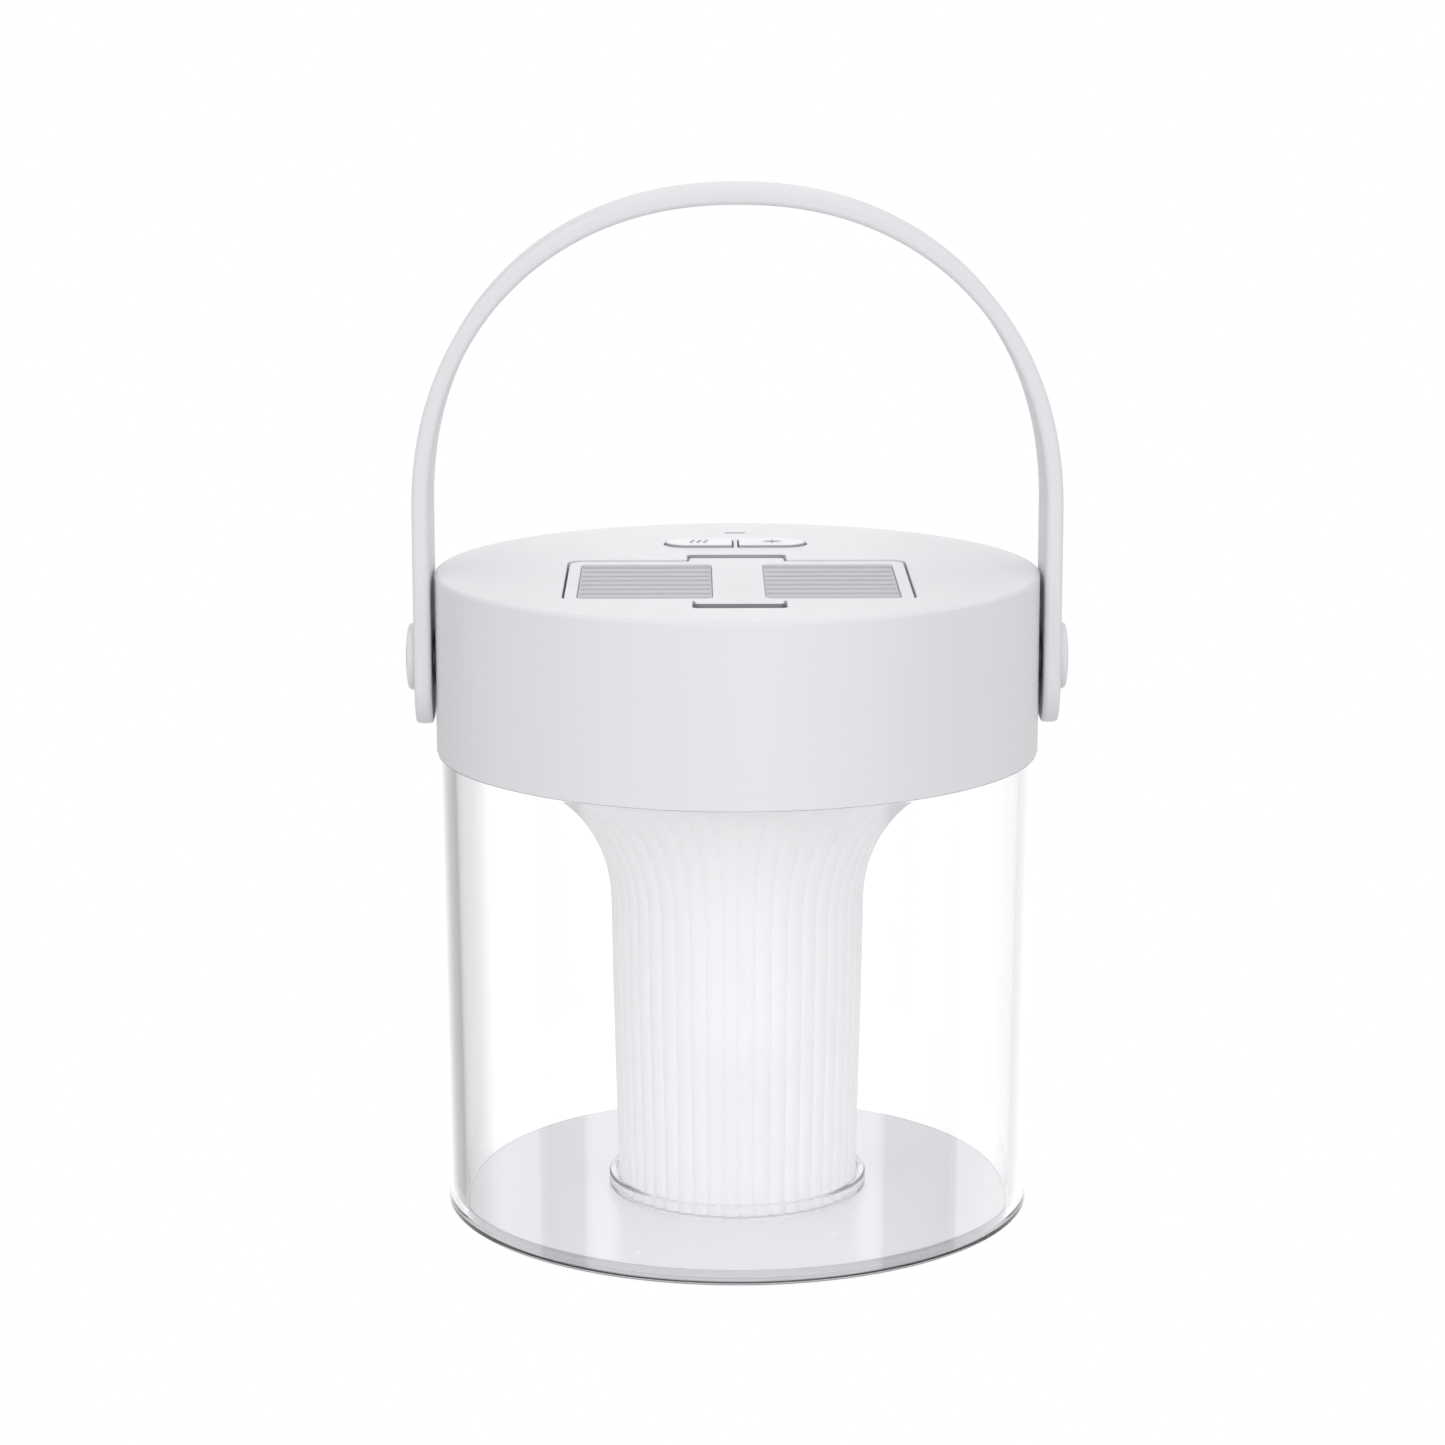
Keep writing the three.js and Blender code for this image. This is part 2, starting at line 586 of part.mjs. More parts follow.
function pivotCap(side) {
  const seatX = STRAP_OUT_X - CAP_SEAT + GAP;
  const pocketR = PIVOT_HEAD_R + GAP;
  const pocketX = seatX + PIVOT_HEAD_THICK + GAP;
  const domeR = CAP_R - CAP_SHOULDER;
  const shoulderX = CAP_TOP_X - CAP_FALL;
  const outline = [
    [0, CAP_TOP_X],
    [domeR / 2, CAP_TOP_X - CAP_FALL / 4],
    [domeR, shoulderX],
    ...arcPoints(domeR, shoulderX - CAP_SHOULDER, CAP_SHOULDER, 45, 0, 1),
    [CAP_R, seatX],
    [pocketR, seatX],
    [pocketR, pocketX],
    [0, pocketX],
  ];
  return revolveX(outline.map(([r, x]) => [r, side * x]), MEDIUM, 0, PIVOT_Z);
}

function pivotScrew(side) {
  const seatX = STRAP_OUT_X - CAP_SEAT + GAP;
  const head = pivotRod(PIVOT_HEAD_R, side * seatX, side * (seatX + PIVOT_HEAD_THICK), 16);
  const shaftX = side * (seatX + PIVOT_HEAD_THICK / 2);
  const shaft = pivotRod(PIVOT_SCREW_R, side * PIVOT_SCREW_END_X, shaftX, SMALL);
  const headX = seatX + PIVOT_HEAD_THICK;
  const recessX = headX - PIVOT_RECESS.depth;
  const recess = pivotRod(PIVOT_RECESS.r, side * recessX, side * (headX + PASS), RECESS_SIDES);
  return cut(join(head, shaft), recess);
}

function pivotWasher(side) {
  const ring = pivotRod(WASHER_R, side * WASHER_X0, side * WASHER_X1);
  const hole = pivotRod(PIVOT_SCREW_R + GAP, side * (WASHER_X0 - PASS), side * (WASHER_X1 + PASS));
  return cut(ring, hole);
}

// ---- lid ----------------------------------------------------------------------------------------
function lidFrame() {
  const tabZ0 = LID_Z1 - TAB_THICK;
  const plate = prism(lidOutline(0), LID_Z0, LID_Z1, 3);
  const tabs = [BACK_TAB, FRONT_TAB].map((tab) => {
    const outline = roundedRect(-tab.halfX, tab.halfX, tab.y0, tab.y1, TAB_CORNER);
    return prism(outline, tabZ0, LID_Z1, 3);
  });
  const windows = [-1, 1].map((side) => {
    const [x0, x1] = mirrored(side, WINDOW.x0, WINDOW.x1);
    const outline = roundedRect(x0, x1, WINDOW.y0, WINDOW.y1, WINDOW.corner);
    return prism(outline, LID_Z0 - PASS, LID_Z1 + PASS, 3);
  });
  return cut(join(plate, ...tabs), ...windows);
}

// A louvred insert: a plate in the window, with a flange below the frame.
function lidGrille(side) {
  const top = LID_Z1 - GRILLE_DROP;
  const flangeTop = LID_Z0 - GAP;
  const flangeBottom = flangeTop - GRILLE_FLANGE.thick;
  const [x0, x1] = mirrored(side, WINDOW.x0 + GAP, WINDOW.x1 - GAP);
  const [fx0, fx1] = mirrored(side, GRILLE_FLANGE.x0, GRILLE_FLANGE.x1);
  const insert = roundedRect(x0, x1, WINDOW.y0 + GAP, WINDOW.y1 - GAP, WINDOW.corner - GAP);
  const plate = prism(insert, flangeBottom, top, 3);
  const flange = box(fx0, fx1, GRILLE_FLANGE.y0, GRILLE_FLANGE.y1, flangeBottom, flangeTop);
  const slots = [];
  for (let i = 0; i < SLOT.count; i += 1) {
    const y = SLOT.first - i * SLOT.pitch;
    slots.push(box(
      x0 + SLOT.margin,
      x1 - SLOT.margin,
      y - SLOT.width / 2,
      y + SLOT.width / 2,
      flangeBottom - PASS,
      top + PASS,
    ));
  }
  return cut(join(plate, flange), ...slots);
}

// ---- heater -------------------------------------------------------------------------------------
function heaterTray() {
  const top = LID_Z0 - GAP;
  const tub = prism(lidOutline(0), TRAY_Z0, top, 3);
  const flangeTop = HEAD_CEILING - GAP;
  const flange = prism(lidOutline(TRAY_FLANGE), TRAY_FLANGE_Z0, flangeTop, 3);
  const ears = [];
  const holes = [
    box(
      -LID_HALF_X + TRAY_WALL,
      LID_HALF_X - TRAY_WALL,
      LID_Y0 + TRAY_WALL,
      LID_Y1 - TRAY_WALL,
      TRAY_Z0 + TRAY_FLOOR,
      top + PASS,
    ),
    rod(SMALL_SCREW.shaftR + GAP, 0, HEATER_Y, PTC.z0 - PASS, PLATE_Z0),
  ];
  for (const side of [-1, 1]) {
    ears.push(rod(EAR_R, side * EAR_X, 0, EAR_Z0, EAR_Z1));
    ears.push(box(...mirrored(side, LID_HALF_X - TRAY_WALL / 2, EAR_X), -EAR_R, EAR_R, EAR_Z0, EAR_Z1));
    holes.push(rod(SMALL_SCREW.shaftR + GAP, side * EAR_X, 0, EAR_Z0 - PASS, EAR_Z1 + PASS));
    const [x0, x1] = mirrored(side, PTC.x0 - GAP, PTC.x1 + GAP);
    holes.push(box(x0, x1, PTC.y0 - GAP, PTC.y1 + GAP, TRAY_Z0 - PASS, PLATE_Z0));
  }
  const clampBoss = rod(CLAMP.bossR, 0, HEATER_Y, PTC.z0, TRAY_Z0 + TRAY_FLOOR / 2);
  return cut(join(tub, flange, clampBoss, ...ears), ...holes);
}

function heaterPlate() {
  const inset = TRAY_WALL + PLATE_ROOM;
  return box(
    -LID_HALF_X + inset,
    LID_HALF_X - inset,
    LID_Y0 + inset,
    LID_Y1 - inset,
    PLATE_Z0,
    PLATE_Z0 + PLATE_THICK,
  );
}

function ptcElement(side) {
  const [x0, x1] = mirrored(side, PTC.x0, PTC.x1);
  return box(x0, x1, PTC.y0, PTC.y1, PTC.z0, PLATE_Z0 - GAP);
}

function heaterClamp() {
  const top = PTC.z0 - GAP;
  const outline = roundedRect(-CLAMP.halfX, CLAMP.halfX, CLAMP.y0, CLAMP.y1, CLAMP.corner);
  const strip = prism(outline, top - CLAMP.thick, top, 3);
  return cut(strip, rod(SMALL_SCREW.shaftR + GAP, 0, HEATER_Y, top - CLAMP.thick - PASS, top + PASS));
}

function repellentMat(side) {
  const [x0, x1] = mirrored(side, MAT.x0, MAT.x1);
  return prism(roundedRect(x0, x1, MAT.y0, MAT.y1, MAT.corner), MAT_Z0, MAT_Z0 + MAT.thick, 3);
}

// ---- buttons and electronics --------------------------------------------------------------------
function halfPill(side, grow, z0, z1) {
  const pill = prism(pillOutline(grow), z0, z1, 6);
  const [x0, x1] = mirrored(side, BUTTON.split, BUTTON.halfX + 2 * PASS);
  return pill.intersect(box(x0, x1, 0, 2 * BUTTON.y, z0 - PASS, z1 + PASS));
}

function pushButton(side) {
  const key = halfPill(side, 0, BUTTON_LIP_Z0, BUTTON_TOP);
  const lip = halfPill(side, BUTTON.lip, BUTTON_LIP_Z0, HEAD_CEILING - GAP);
  const stem = rod(BUTTON_STEM_R, side * BUTTON_X, BUTTON.y, BUTTON_STEM_Z0, BUTTON_LIP_Z0 + PASS);
  return join(key, lip, stem);
}

function tactSwitch(side) {
  const x = side * BUTTON_X;
  const z0 = BOARD.z1 + GAP;
  const y = BUTTON.y;
  const half = SWITCH_HALF;
  const body = box(x - half, x + half, y - half, y + half, z0, SWITCH_BODY_TOP);
  return join(body, rod(SWITCH_PLUNGER_R, x, y, z0 + PASS, SWITCH_PLUNGER_TOP));
}

function indicatorWindow() {
  const { halfX, y0, y1 } = INDICATOR;
  const flangeTop = HEAD_CEILING - GAP;
  const flangeBottom = flangeTop - INDICATOR_FLANGE.thick;
  const bar = box(-halfX, halfX, y0, y1, flangeBottom, HEAD_Z1);
  const reach = INDICATOR_FLANGE.halfX;
  return join(bar, box(-reach, reach, INDICATOR_FLANGE.y0, INDICATOR_FLANGE.y1, flangeBottom, flangeTop));
}

function mainBoard() {
  const { halfX, y0, y1, z0, z1 } = BOARD;
  const middle = (z0 + z1) / 2;
  const board = prism(roundedRect(-halfX, halfX, y0, y1, BOARD_CORNER), z0, z1, 3);
  const chip = box(-CHIP.halfX, CHIP.halfX, CHIP.y0, CHIP.y1, middle, z1 + CHIP.height);
  const coil = box(COIL.x0, COIL.x1, COIL.y0, COIL.y1, z0 - COIL.height, middle);
  const holes = BOARD_HOLES.map(([x, y]) => rod(SMALL_SCREW.shaftR + GAP, x, y, z0 - PASS, z1 + PASS));
  return cut(join(board, chip, coil), ...holes);
}

function usbSocket() {
  const stadium = (inset) => roundedRect(
    -USB.halfX + inset,
    USB.halfX - inset,
    USB.z - USB.halfZ + inset,
    USB.z + USB.halfZ - inset,
    USB.halfZ - inset - HAIR,
  );
  const shell = acrossY(stadium(0), USB.y0, USB.y1);
  const mouth = acrossY(stadium(USB.shell), USB.y0 + USB.floor, USB.y1 + PASS);
  const { halfX, halfZ, y0, y1 } = USB_TONGUE;
  const tongue = box(-halfX, halfX, y0, y1, USB.z - halfZ, USB.z + halfZ);
  return join(cut(shell, mouth), tongue);
}

function batteryPack() {
  const { halfX, halfY, z0, z1, corner } = BATTERY;
  return prism(roundedRect(-halfX, halfX, -halfY, halfY, corner), z0, z1, 4);
}

// ---- assembly -----------------------------------------------------------------------------------
const FINISH = {
  white: { color: 0xe6e5e9, roughness: 0.45, metalness: 0 },
  grille: { color: 0xc4c4c8, roughness: 0.55, metalness: 0 },
  clear: { color: 0xeef0f4, roughness: 0.05, metalness: 0, transparent: true, opacity: 0.25 },
  frosted: { color: 0xf1f0f6, roughness: 0.6, metalness: 0 },
  rubber: { color: 0xb9b9bd, roughness: 0.85, metalness: 0 },
  board: { color: 0x2d5a41, roughness: 0.5, metalness: 0 },
  steel: { color: 0xa8a9ac, roughness: 0.35, metalness: 1 },
  aluminium: { color: 0xc7c9cc, roughness: 0.4, metalness: 1 },
  ceramic: { color: 0xd9d4c8, roughness: 0.8, metalness: 0 },
  heatproof: { color: 0xbfbfbf, roughness: 0.7, metalness: 0 },
  mat: { color: 0xbcc9e0, roughness: 0.95, metalness: 0 },
  battery: { color: 0x8fa0b4, roughness: 0.5, metalness: 0 },
  black: { color: 0x2b2b2e, roughness: 0.5, metalness: 0 },
};

const lantern = new THREE.Group();

function addPiece(name, piece, finish) {
  const { vertProperties, triVerts } = piece.getMesh();
  const geometry = new THREE.BufferGeometry();
  geometry.setAttribute('position', new THREE.BufferAttribute(vertProperties, 3));
  geometry.setIndex(new THREE.BufferAttribute(triVerts, 1));
  geometry.computeVertexNormals();
  const mesh = new THREE.Mesh(geometry, new THREE.MeshStandardMaterial(FINISH[finish]));
  mesh.name = name;
  lantern.add(mesh);
}

addPiece('head_shell', headShell(), 'white');
addPiece('head_floor', headFloor(), 'white');
addPiece('clear_jar', clearJar(), 'clear');
addPiece('base_plate', basePlate(), 'white');
for (let i = 0; i < 4; i += 1) addPiece(`foot_pad_${i + 1}`, footPad(i), 'rubber');
addPiece('diffuser', diffuser(), 'frosted');
addPiece('diffuser_collar', diffuserCollar(), 'clear');
addPiece('light_tube', lightTube(), 'frosted');
addPiece('led_board', ledBoard(), 'board');

addPiece('carry_handle', carryHandle(), 'white');
addPiece('lid_frame', lidFrame(), 'white');
for (const [side, word] of [[-1, 'left'], [1, 'right']]) {
  addPiece(`pivot_cap_${word}`, pivotCap(side), 'white');
  addPiece(`pivot_screw_${word}`, pivotScrew(side), 'steel');
  addPiece(`pivot_washer_${word}`, pivotWasher(side), 'black');
  addPiece(`lid_grille_${word}`, lidGrille(side), 'grille');
  addPiece(`ptc_element_${word}`, ptcElement(side), 'ceramic');
  addPiece(`repellent_mat_${word}`, repellentMat(side), 'mat');
}
addPiece('heat_button', pushButton(-1), 'white');
addPiece('light_button', pushButton(1), 'white');
addPiece('heat_switch', tactSwitch(-1), 'black');
addPiece('light_switch', tactSwitch(1), 'black');
addPiece('indicator_window', indicatorWindow(), 'frosted');

addPiece('main_board', mainBoard(), 'board');
addPiece('usb_socket', usbSocket(), 'steel');
addPiece('battery_pack', batteryPack(), 'battery');
addPiece('heater_tray', heaterTray(), 'heatproof');
addPiece('heater_plate', heaterPlate(), 'aluminium');
addPiece('heater_clamp', heaterClamp(), 'steel');

HEAD_SCREWS.forEach(([x, y], i) => {
  const { headZ0, tip } = HEAD_SCREW;
  addPiece(`head_screw_${i + 1}`, screwFromBelow(HEAD_SCREW, x, y, headZ0, tip), 'steel');
});
const smallTip = HEAD_CEILING - SMALL_SCREW.tipDepth;
BOARD_HOLES.forEach(([x, y], i) => {
  addPiece(`board_screw_${i + 1}`, smallScrew(x, y, BOARD.z0, smallTip), 'steel');
});
addPiece('tray_screw_left', smallScrew(-EAR_X, 0, EAR_Z0, smallTip), 'steel');
addPiece('tray_screw_right', smallScrew(EAR_X, 0, EAR_Z0, smallTip), 'steel');
const clampUnderside = PTC.z0 - GAP - CLAMP.thick;
addPiece('clamp_screw', smallScrew(0, HEATER_Y, clampUnderside, PLATE_Z0 - 2 * GAP), 'steel');

export default lantern;
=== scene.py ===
"""Looks for the portable mosquito lantern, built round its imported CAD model. Metres, +Z up, front at -Y."""

import json
import math

import bmesh
import bpy
from mathutils import Matrix, Vector

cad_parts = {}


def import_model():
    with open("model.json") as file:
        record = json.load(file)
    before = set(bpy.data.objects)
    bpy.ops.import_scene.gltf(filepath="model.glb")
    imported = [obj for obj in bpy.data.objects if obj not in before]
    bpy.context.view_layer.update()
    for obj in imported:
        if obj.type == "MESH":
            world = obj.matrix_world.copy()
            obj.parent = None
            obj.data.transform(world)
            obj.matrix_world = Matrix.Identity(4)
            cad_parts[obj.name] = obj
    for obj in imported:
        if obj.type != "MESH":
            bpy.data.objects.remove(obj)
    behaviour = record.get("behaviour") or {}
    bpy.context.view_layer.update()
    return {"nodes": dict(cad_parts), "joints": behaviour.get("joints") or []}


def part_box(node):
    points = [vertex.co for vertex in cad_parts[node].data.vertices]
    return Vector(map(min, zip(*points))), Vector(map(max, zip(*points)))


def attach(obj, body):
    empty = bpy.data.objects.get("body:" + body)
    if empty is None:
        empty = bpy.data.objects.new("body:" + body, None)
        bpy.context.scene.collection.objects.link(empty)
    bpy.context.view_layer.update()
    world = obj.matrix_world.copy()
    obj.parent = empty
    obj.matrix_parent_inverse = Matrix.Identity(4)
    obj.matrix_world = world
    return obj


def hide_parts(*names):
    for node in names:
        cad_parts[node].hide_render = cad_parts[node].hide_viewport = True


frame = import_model()
MM = 0.001

# ---- places taken from the frame ------------------------------------------------------------------


def span(node):
    """A CAD node's lowest and highest corners, in millimetres."""
    low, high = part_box(node)
    return low / MM, high / MM


HEAD_LOW, HEAD_HIGH = span("head_shell")
JAR_LOW, JAR_HIGH = span("clear_jar")
FLOOR_LOW, FLOOR_HIGH = span("head_floor")
BASE_LOW, BASE_HIGH = span("base_plate")
DIFFUSER_LOW, DIFFUSER_HIGH = span("diffuser")
COLLAR_HIGH = span("diffuser_collar")[1]
TUBE_LOW, TUBE_HIGH = span("light_tube")
STRAP_LOW, STRAP_HIGH = span("carry_handle")
LID_LOW, LID_HIGH = span("lid_frame")
GRILLE_LOW = span("lid_grille_right")[0]
BUTTON_LOW, BUTTON_HIGH = span("light_button")
INDICATOR_LOW, INDICATOR_HIGH = span("indicator_window")
USB_LOW, USB_HIGH = span("usb_socket")
WASHER_LOW, WASHER_HIGH = span("pivot_washer_right")
CAP_LOW, CAP_HIGH = span("pivot_cap_right")
BATTERY_HIGH = span("battery_pack")[1]

PIVOT_Z = next(j["pos_m"][2] for j in frame["joints"] if j["name"] == "handle_swing") / MM
HEAD_R = HEAD_HIGH.x
HEAD_Z0 = HEAD_LOW.z
HEAD_Z1 = HEAD_HIGH.z
GAP = 0.3
HAIRLINE = 0.05 # a seam too fine to show
LINER = 0.04 # how far a thin liner painted with shade stands out from its wall
HEAD_WALL = 2.2
SKIRT_WALL = 1.4 # the head's wall where it slips over the jar's neck
CEILING = HEAD_Z1 - HEAD_WALL
FAR = 60 # further out than anything on the head
UNDER_TOP = 90 # a height well below the head's top
OVER_TOP = 120 # a height well above it

# ---- meshes -----------------------------------------------------------------------------------------


def arc(cx, cy, r, start, end, steps):
    """Points on a circle, angles in degrees."""
    points = []
    for i in range(steps + 1):
        a = math.radians(start + (end - start) * i / steps)
        points.append((cx + r * math.cos(a), cy + r * math.sin(a)))
    return points


def rounded(corners, steps=5):
    """A closed outline whose (x, y, radius) corners are turned into arcs."""
    out = []
    n = len(corners)
    for i, (x, y, r) in enumerate(corners):
        here = Vector((x, y))
        before = Vector(corners[i - 1][:2]) - here
        after = Vector(corners[(i + 1) % n][:2]) - here
        if r <= 0:
            out.append((x, y))
            continue
        half = before.angle(after) / 2
        reach = min(r / math.tan(half), before.length * 0.49, after.length * 0.49)
        r = reach * math.tan(half)
        start = here + before.normalized() * reach
        end = here + after.normalized() * reach
        centre = here + (before.normalized() + after.normalized()).normalized() * (r / math.sin(half))
        a0 = math.atan2(start.y - centre.y, start.x - centre.x)
        a1 = math.atan2(end.y - centre.y, end.x - centre.x)
        turn = (a1 - a0 + math.pi) % (2 * math.pi) - math.pi
        for k in range(steps + 1):
            a = a0 + turn * k / steps
            out.append((centre.x + r * math.cos(a), centre.y + r * math.sin(a)))
    return out


def rectangle(x0, x1, y0, y1, r, steps=6):
    return rounded([(x0, y0, r), (x1, y0, r), (x1, y1, r), (x0, y1, r)], steps)


def grown(outline, distance):
    """The outline moved outwards by a distance, with mitred corners. It runs anticlockwise."""
    out = []
    n = len(outline)
    for i in range(n):
        here = Vector(outline[i])
        a = (here - Vector(outline[i - 1])).normalized()
        b = (Vector(outline[(i + 1) % n]) - here).normalized()
        na = Vector((a.y, -a.x))
        nb = Vector((b.y, -b.x))
        mitre = na + nb
        scale = 2 / max(mitre.length_squared, 0.5)
        out.append(tuple(here + mitre * (distance * scale)))
    return out


def new_piece(name, bm, sharp=35):
    """A mesh object from bm, which is in millimetres."""
    bmesh.ops.remove_doubles(bm, verts=bm.verts, dist=1e-5)
    bmesh.ops.recalc_face_normals(bm, faces=bm.faces)
    bmesh.ops.scale(bm, vec=(MM, MM, MM), verts=bm.verts)
    mesh = bpy.data.meshes.new(name)
    bm.to_mesh(mesh)
    bm.free()
    mesh.shade_smooth()
    mesh.set_sharp_from_angle(angle=math.radians(sharp))
    piece = bpy.data.objects.new(name, mesh)
    bpy.context.scene.collection.objects.link(piece)
    return piece


def skin(rings, closed=False):
    """A bmesh over rings of the same number of points: capped at both ends, or joined end to end."""
    bm = bmesh.new()
    rows = [[bm.verts.new(p) for p in ring] for ring in rings]
    n = len(rings[0])
    pairs = list(zip(rows, rows[1:]))
    if closed:
        pairs.append((rows[-1], rows[0]))
    for low, high in pairs:
        for i in range(n):
            j = (i + 1) % n
            bm.faces.new((low[i], low[j], high[j], high[i]))
    if not closed:
        bm.faces.new(list(reversed(rows[0])))
        bm.faces.new(rows[-1])
    return bm


def stack(outline, levels):
    """Rings of one outline at (growth, z) levels."""
    return [[(x, y, z) for x, y in grown(outline, grow)] for grow, z in levels]


def rounded_levels(z0, z1, bottom, top, steps=4):
    """Levels for a slab with rounded lower and upper edges."""
    levels = []
    for i in range(steps + 1):
        a = math.radians(90 * i / steps)
        levels.append((-bottom * (1 - math.sin(a)), z0 + bottom * (1 - math.cos(a))))
    for i in range(steps + 1):
        a = math.radians(90 * i / steps)
        levels.append((-top * (1 - math.cos(a)), z1 - top * (1 - math.sin(a))))
    return levels


def slab(name, outline, z0, z1, bottom=0.1, top=0.3):
    return new_piece(name, skin(stack(outline, rounded_levels(z0, z1, bottom, top))))


def band(name, outline, z0, z1, thick=0.15):
    """A thin upright ring, its outer face on the outline."""
    ring = slab(name, outline, z0, z1, 0.02, 0.02)
    combine(ring, "DIFFERENCE", [slab("cutter", grown(outline, -thick), z0 - 1, z1 + 1, 0.02, 0.02)])
    return ring


def opening(outline, z0, surface, rim, steps=4):
    """A cutter that leaves a rounded rim where it breaks through the surface."""
    levels = [(0, z0)]
    for i in range(steps + 1):
        a = math.radians(90 * i / steps)
        levels.append((rim * (1 - math.cos(a)), surface - rim * (1 - math.sin(a))))
    levels.append((rim, surface + 2))
    return new_piece("cutter", skin(stack(outline, levels)))


def lathe_mesh(profile, segments):
    """A closed (radius, height) profile turned about Z."""
    bm = bmesh.new()
    rows = []
    for r, z in profile:
        if r < 1e-6:
            rows.append([bm.verts.new((0, 0, z))])
            continue
        ring = []
        for i in range(segments):
            a = 2 * math.pi * i / segments
            ring.append(bm.verts.new((r * math.cos(a), r * math.sin(a), z)))
        rows.append(ring)
    for k, low in enumerate(rows):
        high = rows[(k + 1) % len(rows)]
        if len(low) == 1 and len(high) == 1:
            continue
        for i in range(segments):
            j = (i + 1) % segments
            if len(low) == 1:
                bm.faces.new((low[0], high[j], high[i]))
            elif len(high) == 1:
                bm.faces.new((low[i], low[j], high[0]))
            else:
                bm.faces.new((low[i], low[j], high[j], high[i]))
    return bm


def supported(profile, reach=0.2):
    """The same profile with a point just inside each end of its long lines, so that they shade flat."""
    out = []
    for i, point in enumerate(profile):
        here = Vector(point)
        line = Vector(profile[(i + 1) % len(profile)]) - here
        out.append(point)
        on_axis = here.x < 1e-6 and (here + line).x < 1e-6
        if line.length > 6 * reach and not on_axis:
            step = line.normalized() * reach
            out += [tuple(here + step), tuple(here + line - step)]
    return out


def lathe(name, corners, segments=192, steps=5, sharp=35):
    """A turned piece from a closed profile of (radius, height, rounding) corners."""
    return new_piece(name, lathe_mesh(supported(rounded(corners, steps)), segments), sharp)


def turned_to_x(piece, side=1):
    """Turns a piece modelled along +Z to point along X at the pivot's height."""
    turn = Matrix.Rotation(math.radians(90 * side), 4, "Y")
    piece.data.transform(Matrix.Translation((0, 0, PIVOT_Z * MM)) @ turn)
    return piece


def bar(x, y, r, z0, z1, segments=32):
    """A plain upright cylinder, used only to join or cut."""
    profile = [(0, z0), (r, z0), (r, z1), (0, z1)]
    piece = new_piece("cutter", lathe_mesh(profile, segments))
    piece.data.transform(Matrix.Translation((x * MM, y * MM, 0)))
    return piece


def brick(x0, x1, y0, y1, z0, z1):
    outline = [(x0, y0), (x1, y0), (x1, y1), (x0, y1)]
    return new_piece("cutter", skin([[(x, y, z0) for x, y in outline], [(x, y, z1) for x, y in outline]]))


def merged(pieces):
    """Several separate pieces as one object."""
    target = pieces[0]
    bm = bmesh.new()
    for piece in pieces:
        bm.from_mesh(piece.data)
    bm.to_mesh(target.data)
    bm.free()
    for piece in pieces[1:]:
        bpy.data.objects.remove(piece)
    return target


def baked(piece):
    """Replaces a piece's mesh by what its modifiers make of it."""
    deps = bpy.context.evaluated_depsgraph_get()
    mesh = bpy.data.meshes.new_from_object(piece.evaluated_get(deps))
    piece.modifiers.clear()
    piece.data = mesh


def combine(piece, operation, others, sharp=35):
    """Joins others to a piece or cuts them from it, and keeps flat faces flat."""
    for other in others:
        modifier = piece.modifiers.new("combine", "BOOLEAN")
        modifier.operation = operation
        modifier.solver = "EXACT"
        modifier.object = other
    baked(piece)
    for other in others:
        bpy.data.objects.remove(other)
    piece.data.shade_smooth()
    piece.data.set_sharp_from_angle(angle=math.radians(sharp))


def even_shading(piece):
    modifier = piece.modifiers.new("normals", "WEIGHTED_NORMAL")
    modifier.keep_sharp = True
    modifier.weight = 50
    baked(piece)


def show(piece, body, slot, material, *nodes):
    """Gives a finished piece its body, material and the CAD nodes it stands for. The slot argument is not
    used.
    """
    piece.data.materials.clear()
    piece.data.materials.append(material)
    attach(piece, body)
    if nodes:
        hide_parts(*nodes)


# ---- materials ----------------------------------------------------------------------------------------


class Nodes:
    """A small helper round one material's node tree."""

    def __init__(self, name):
        self.material = bpy.data.materials.new(name)
        self.material.use_nodes = True
        self.tree = self.material.node_tree
        self.shader = self.tree.nodes["Principled BSDF"]
        self.output = self.tree.nodes["Material Output"]
        self.place = self.add("ShaderNodeTexCoord").outputs["Object"]

    def add(self, kind, **values):
        node = self.tree.nodes.new(kind)
        for key, value in values.items():
            if hasattr(node, key):
                setattr(node, key, value)
            else:
                node.inputs[key].default_value = value
        return node

    def link(self, source, target):
        self.tree.links.new(source, target)

    def noise(self, scale, detail=3.0, stretch=None):
        node = self.add("ShaderNodeTexNoise", Scale=scale, Detail=detail)
        place = self.place
        if stretch:
            mapping = self.add("ShaderNodeMapping")
            mapping.inputs["Scale"].default_value = stretch
            self.link(place, mapping.inputs["Vector"])
            place = mapping.outputs["Vector"]
        self.link(place, node.inputs["Vector"])
        return node.outputs["Fac"]

    def mapped(self, source, low, high):
        node = self.add("ShaderNodeMapRange")
        node.inputs["To Min"].default_value = low
        node.inputs["To Max"].default_value = high
        self.link(source, node.inputs["Value"])
        return node.outputs["Result"]

    def blend(self, source, first, second):
        node = self.add("ShaderNodeMix", data_type="RGBA")
        node.inputs[6].default_value = (*first, 1)
        node.inputs[7].default_value = (*second, 1)
        self.link(source, node.inputs[0])
        return node.outputs[2]

    def bump(self, source, strength, distance):
        node = self.add("ShaderNodeBump", Strength=strength, Distance=distance)
        self.link(source, node.inputs["Height"])
        self.link(node.outputs["Normal"], self.shader.inputs["Normal"])
        return node


